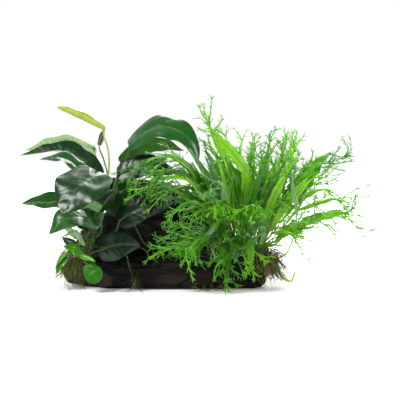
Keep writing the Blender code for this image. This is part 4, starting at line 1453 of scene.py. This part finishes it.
def add_spray(bundle, rng, spray):
    """Add the fronds of a spray, from its first place and lean to its last."""
    for order in range(spray.count):
        share = (order + rng.uniform(0.1, 0.9)) / spray.count
        lean = spray.lean[0] + (spray.lean[1] - spray.lean[0]) * share
        place = spray.places[0] + (spray.places[1] - spray.places[0]) * share + rng.uniform(-3, 3)
        depth, length, bow = (rng.uniform(*limits) for limits in (spray.depth, spray.length, spray.bow))
        frond = sprung(spray.stem, place, lean, depth, length, bow, rng)
        # The spray's tones paint light and shade onto its fronds: lighter in the sunny sprays, darker in
        # the shaded ones.
        tone = rng.choice(spray.tones) + rng.uniform(-0.1, 0.1)
        add_frond(bundle, rng, frond, tone, Form(spray.lush, spray.lace, FOOT), YOUNG_ROWS)


for stem, seed in YOUNG_SEEDS.items():
    rng = np.random.default_rng(seed)
    bundle = Bundle()
    add_companions(bundle, rng, stem)
    for frond in HAND_PLACED:
        if frond.stem == stem:
            add_frond(bundle, rng, frond, FROND_TONES[frond.tone], PLAIN, YOUNG_ROWS)
    add_side_strands(bundle, rng, stem)
    for spray in SPRAYS:
        if spray.stem == stem:
            add_spray(bundle, rng, spray)
    faces = bundle.piece("young_fronds_" + stem, fern_surface, "fern_frond")
    print("younger fronds on the", stem, "stem,", faces, "triangles")

# %% [markdown]
# ## Roots
#
# Water plants hold on to wood with thin wiry roots. Each fine root here is a walk: at every step its
# heading changes a little and sinks a little, and where it meets the floor it lies down and goes on
# along it. Hair would be quicker to lay out, but only meshes become part of the object. Three thicker
# roots cross the front of the wood and carry a few hairs, three tufts are dense, and a last piece
# holds what clings to the wood elsewhere and three long thin roots.

# %% A root that wanders
ROOT_STEPS = 9
ROOT_REST = 0.5


def wander(rng, start, heading, length, stray, pull):
    """Return the points of a root that strays, sinks, and lies down where it meets the floor."""
    points = [np.array(start, float)]
    heading = unit(np.array(heading, float))
    for _ in range(ROOT_STEPS):
        heading = unit(heading + rng.normal(0, stray, 3) - np.array((0, 0, pull)))
        ahead = points[-1] + heading * length / ROOT_STEPS
        if ahead[2] < ROOT_REST:
            ahead[2] = ROOT_REST + rng.uniform(0, 0.6)
            heading[2] = 0.0
        points.append(ahead)
    return np.array(points)


trial = wander(np.random.default_rng(0), (0, 0, 20), (0, 0, -1), 40, 0.3, 0.1)
print("a root of 40 mm from 20 mm up ends", round(float(trial[-1][2]), 1), "mm above the floor")

# %% Colour of the roots
def root_finish(name, young, old):
    """Return a root finish that goes from a young colour to an old one."""
    root = Finish(name)
    speck = root.cloud(root.place(), 260.0, 3.0)
    share = root.mark("age") + (speck - 0.5) * 0.8
    root.close(root.node("ShaderNodeBsdfPrincipled", {}, {
        "Base Color": root.mix(root.fade(share, 0.2, 0.8), young, old),
        "Roughness": 0.5 + speck * 0.3,
        "Normal": root.bump(speck, 0.0004),
    }))
    return root


pale_root = root_finish("pale_root", paint(126, 130, 40), paint(30, 22, 9))
brown_root = root_finish("brown_root", paint(118, 66, 40), paint(26, 12, 9))
green_root = root_finish("green_root", paint(72, 92, 40), paint(32, 36, 18))
print("root finishes:", pale_root.material.name, brown_root.material.name, green_root.material.name)

# %% Aerial roots of the anubias
AERIAL_SEED = 300
AERIAL_ROWS = 60
AERIAL_SIZES = (7, 7, 7)
AERIAL_STRAY = 1.2
HAIRS = 7
AERIAL_ROOTS = (
    [(-37, -6, 67), (-29, -11.5, 50), (-24, -13.5, 43.5), (-15, -17, 41), (-7.5, -23, 36), (3, -29.5, 29)],
    [(-30, -15.5, 41), (-24, -21, 38), (-20, -26, 33), (-11, -30.5, 27)],
    [(-60, -21, 42), (-52, -22, 40), (-43, -29, 34), (-39, -32.5, 23), (-35, -33, 12)],
)
for number, points in enumerate(AERIAL_ROOTS, 1):
    rng = np.random.default_rng(AERIAL_SEED + number)
    shares = np.linspace(0, 1, AERIAL_ROWS)
    route = smooth_route(points, shares)
    stray = [cloudy(route[1:-1] + 40 * axis, *AERIAL_SIZES) for axis in range(3)]
    route[1:-1] += np.column_stack(stray) * AERIAL_STRAY
    bundle = Bundle()
    bundle.tube(route, np.interp(shares, (0, 0.8, 1), (0.7, 0.55, 0.22)), 9, age=shares * 0.6)
    for row in rng.integers(20, AERIAL_ROWS - 2, HAIRS):
        hair = wander(rng, route[row], rng.normal(0, 1, 3), rng.uniform(3, 9), 0.3, 0.12)
        bundle.tube(hair, np.linspace(0.3, 0.12, len(hair)), 5, age=0.5)
    bundle.piece(f"wiry_root_{number}", green_root, "fine_root", f"aerial_root_{number}")
print("aerial roots", len(AERIAL_ROOTS))

# %% Tufts of fine roots
Tuft = namedtuple("Tuft", "name finish count start spread heading length radius pull")
TUFT_SEED = 400
TUFTS = (
    Tuft("left_root_tuft", pale_root, 420,
         (-94, -16, 31), (12, 10, 10), (-0.4, -0.3, -0.9), (10, 34), 0.24, 0.12),
    Tuft("front_root_tuft", green_root, 26,
         (-33, -33, 13), (3, 2, 9), (0.0, -0.6, -0.7), (14, 34), 0.2, 0.16),
    Tuft("right_root_tuft", brown_root, 330,
         (98, -12, 29), (8, 11, 10), (0.6, -0.2, -0.7), (12, 32), 0.27, 0.12),
)


def add_roots(bundle, rng, tuft):
    """Add the roots of a tuft, each from its own place and with its own heading."""
    for _ in range(tuft.count):
        start = np.array(tuft.start) + rng.uniform(-1, 1, 3) * tuft.spread
        heading = np.array(tuft.heading) + rng.normal(0, 0.45, 3)
        root = wander(rng, start, heading, rng.uniform(*tuft.length), 0.3, tuft.pull)
        radius = tuft.radius * rng.uniform(0.6, 1.2)
        bundle.tube(root, np.linspace(radius, radius * 0.4, len(root)), 5, age=rng.uniform(0, 1))


for tuft in TUFTS:
    bundle = Bundle()
    add_roots(bundle, np.random.default_rng(TUFT_SEED + tuft.count), tuft)
    faces = bundle.piece("fine_" + tuft.name, tuft.finish, "fine_root", tuft.name)
    print(tuft.name, tuft.count, "roots,", faces, "triangles")

# %% Roots over the wood
CLINGING_SEED = 500
CLINGING = (
    Tuft("climbing stem", pale_root, 120,
         (-86, -22, 66), (6, 5, 24), (-0.1, -0.3, -0.9), (8, 24), 0.22, 0.2),
    Tuft("side shoot", pale_root, 40,
         (-92, -26, 46), (8, 6, 8), (-0.2, -0.3, -0.8), (8, 20), 0.2, 0.1),
    Tuft("foot of the log", pale_root, 24,
         (40, -31, 4), (16, 3, 3), (-0.4, -0.8, -0.2), (10, 24), 0.22, 0.1),
    Tuft("fern's foot", pale_root, 90,
         (90, -24, 30), (14, 5, 8), (0.1, -0.4, -0.9), (10, 30), 0.26, 0.15),
)
THREAD_RADIUS = 0.28
THREADS = (
    [(-98, -34, 88), (-116, -38, 87), (-124, -40, 80), (-139, -40, 74)],
    [(-96, -30, 58), (-104, -34, 54), (-108, -36, 46), (-111, -38, 36)],
    [(-92, -34, 60), (-99, -38, 56), (-104, -40, 44), (-105, -42, 38)],
)
bundle = Bundle()
rng = np.random.default_rng(CLINGING_SEED)
for tuft in CLINGING:
    add_roots(bundle, rng, tuft)
    print(tuft.name, tuft.count, "roots")
for points in THREADS:
    bundle.tube(smooth_route(points, np.linspace(0, 1, 24)), THREAD_RADIUS, 6, age=0.0)
print("roots over the wood", bundle.piece("clinging_roots", pale_root, "fine_root"), "triangles")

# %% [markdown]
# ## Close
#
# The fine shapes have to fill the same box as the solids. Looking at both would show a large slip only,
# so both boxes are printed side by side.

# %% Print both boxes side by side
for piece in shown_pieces():
    piece.data.calc_loop_triangles()
fine_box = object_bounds()
for name, low, high, fine_low, fine_high in zip("XYZ", *solid_box, *fine_box):
    print(name, "solid", round(low, 4), round(high, 4), "fine", round(fine_low, 4), round(fine_high, 4))
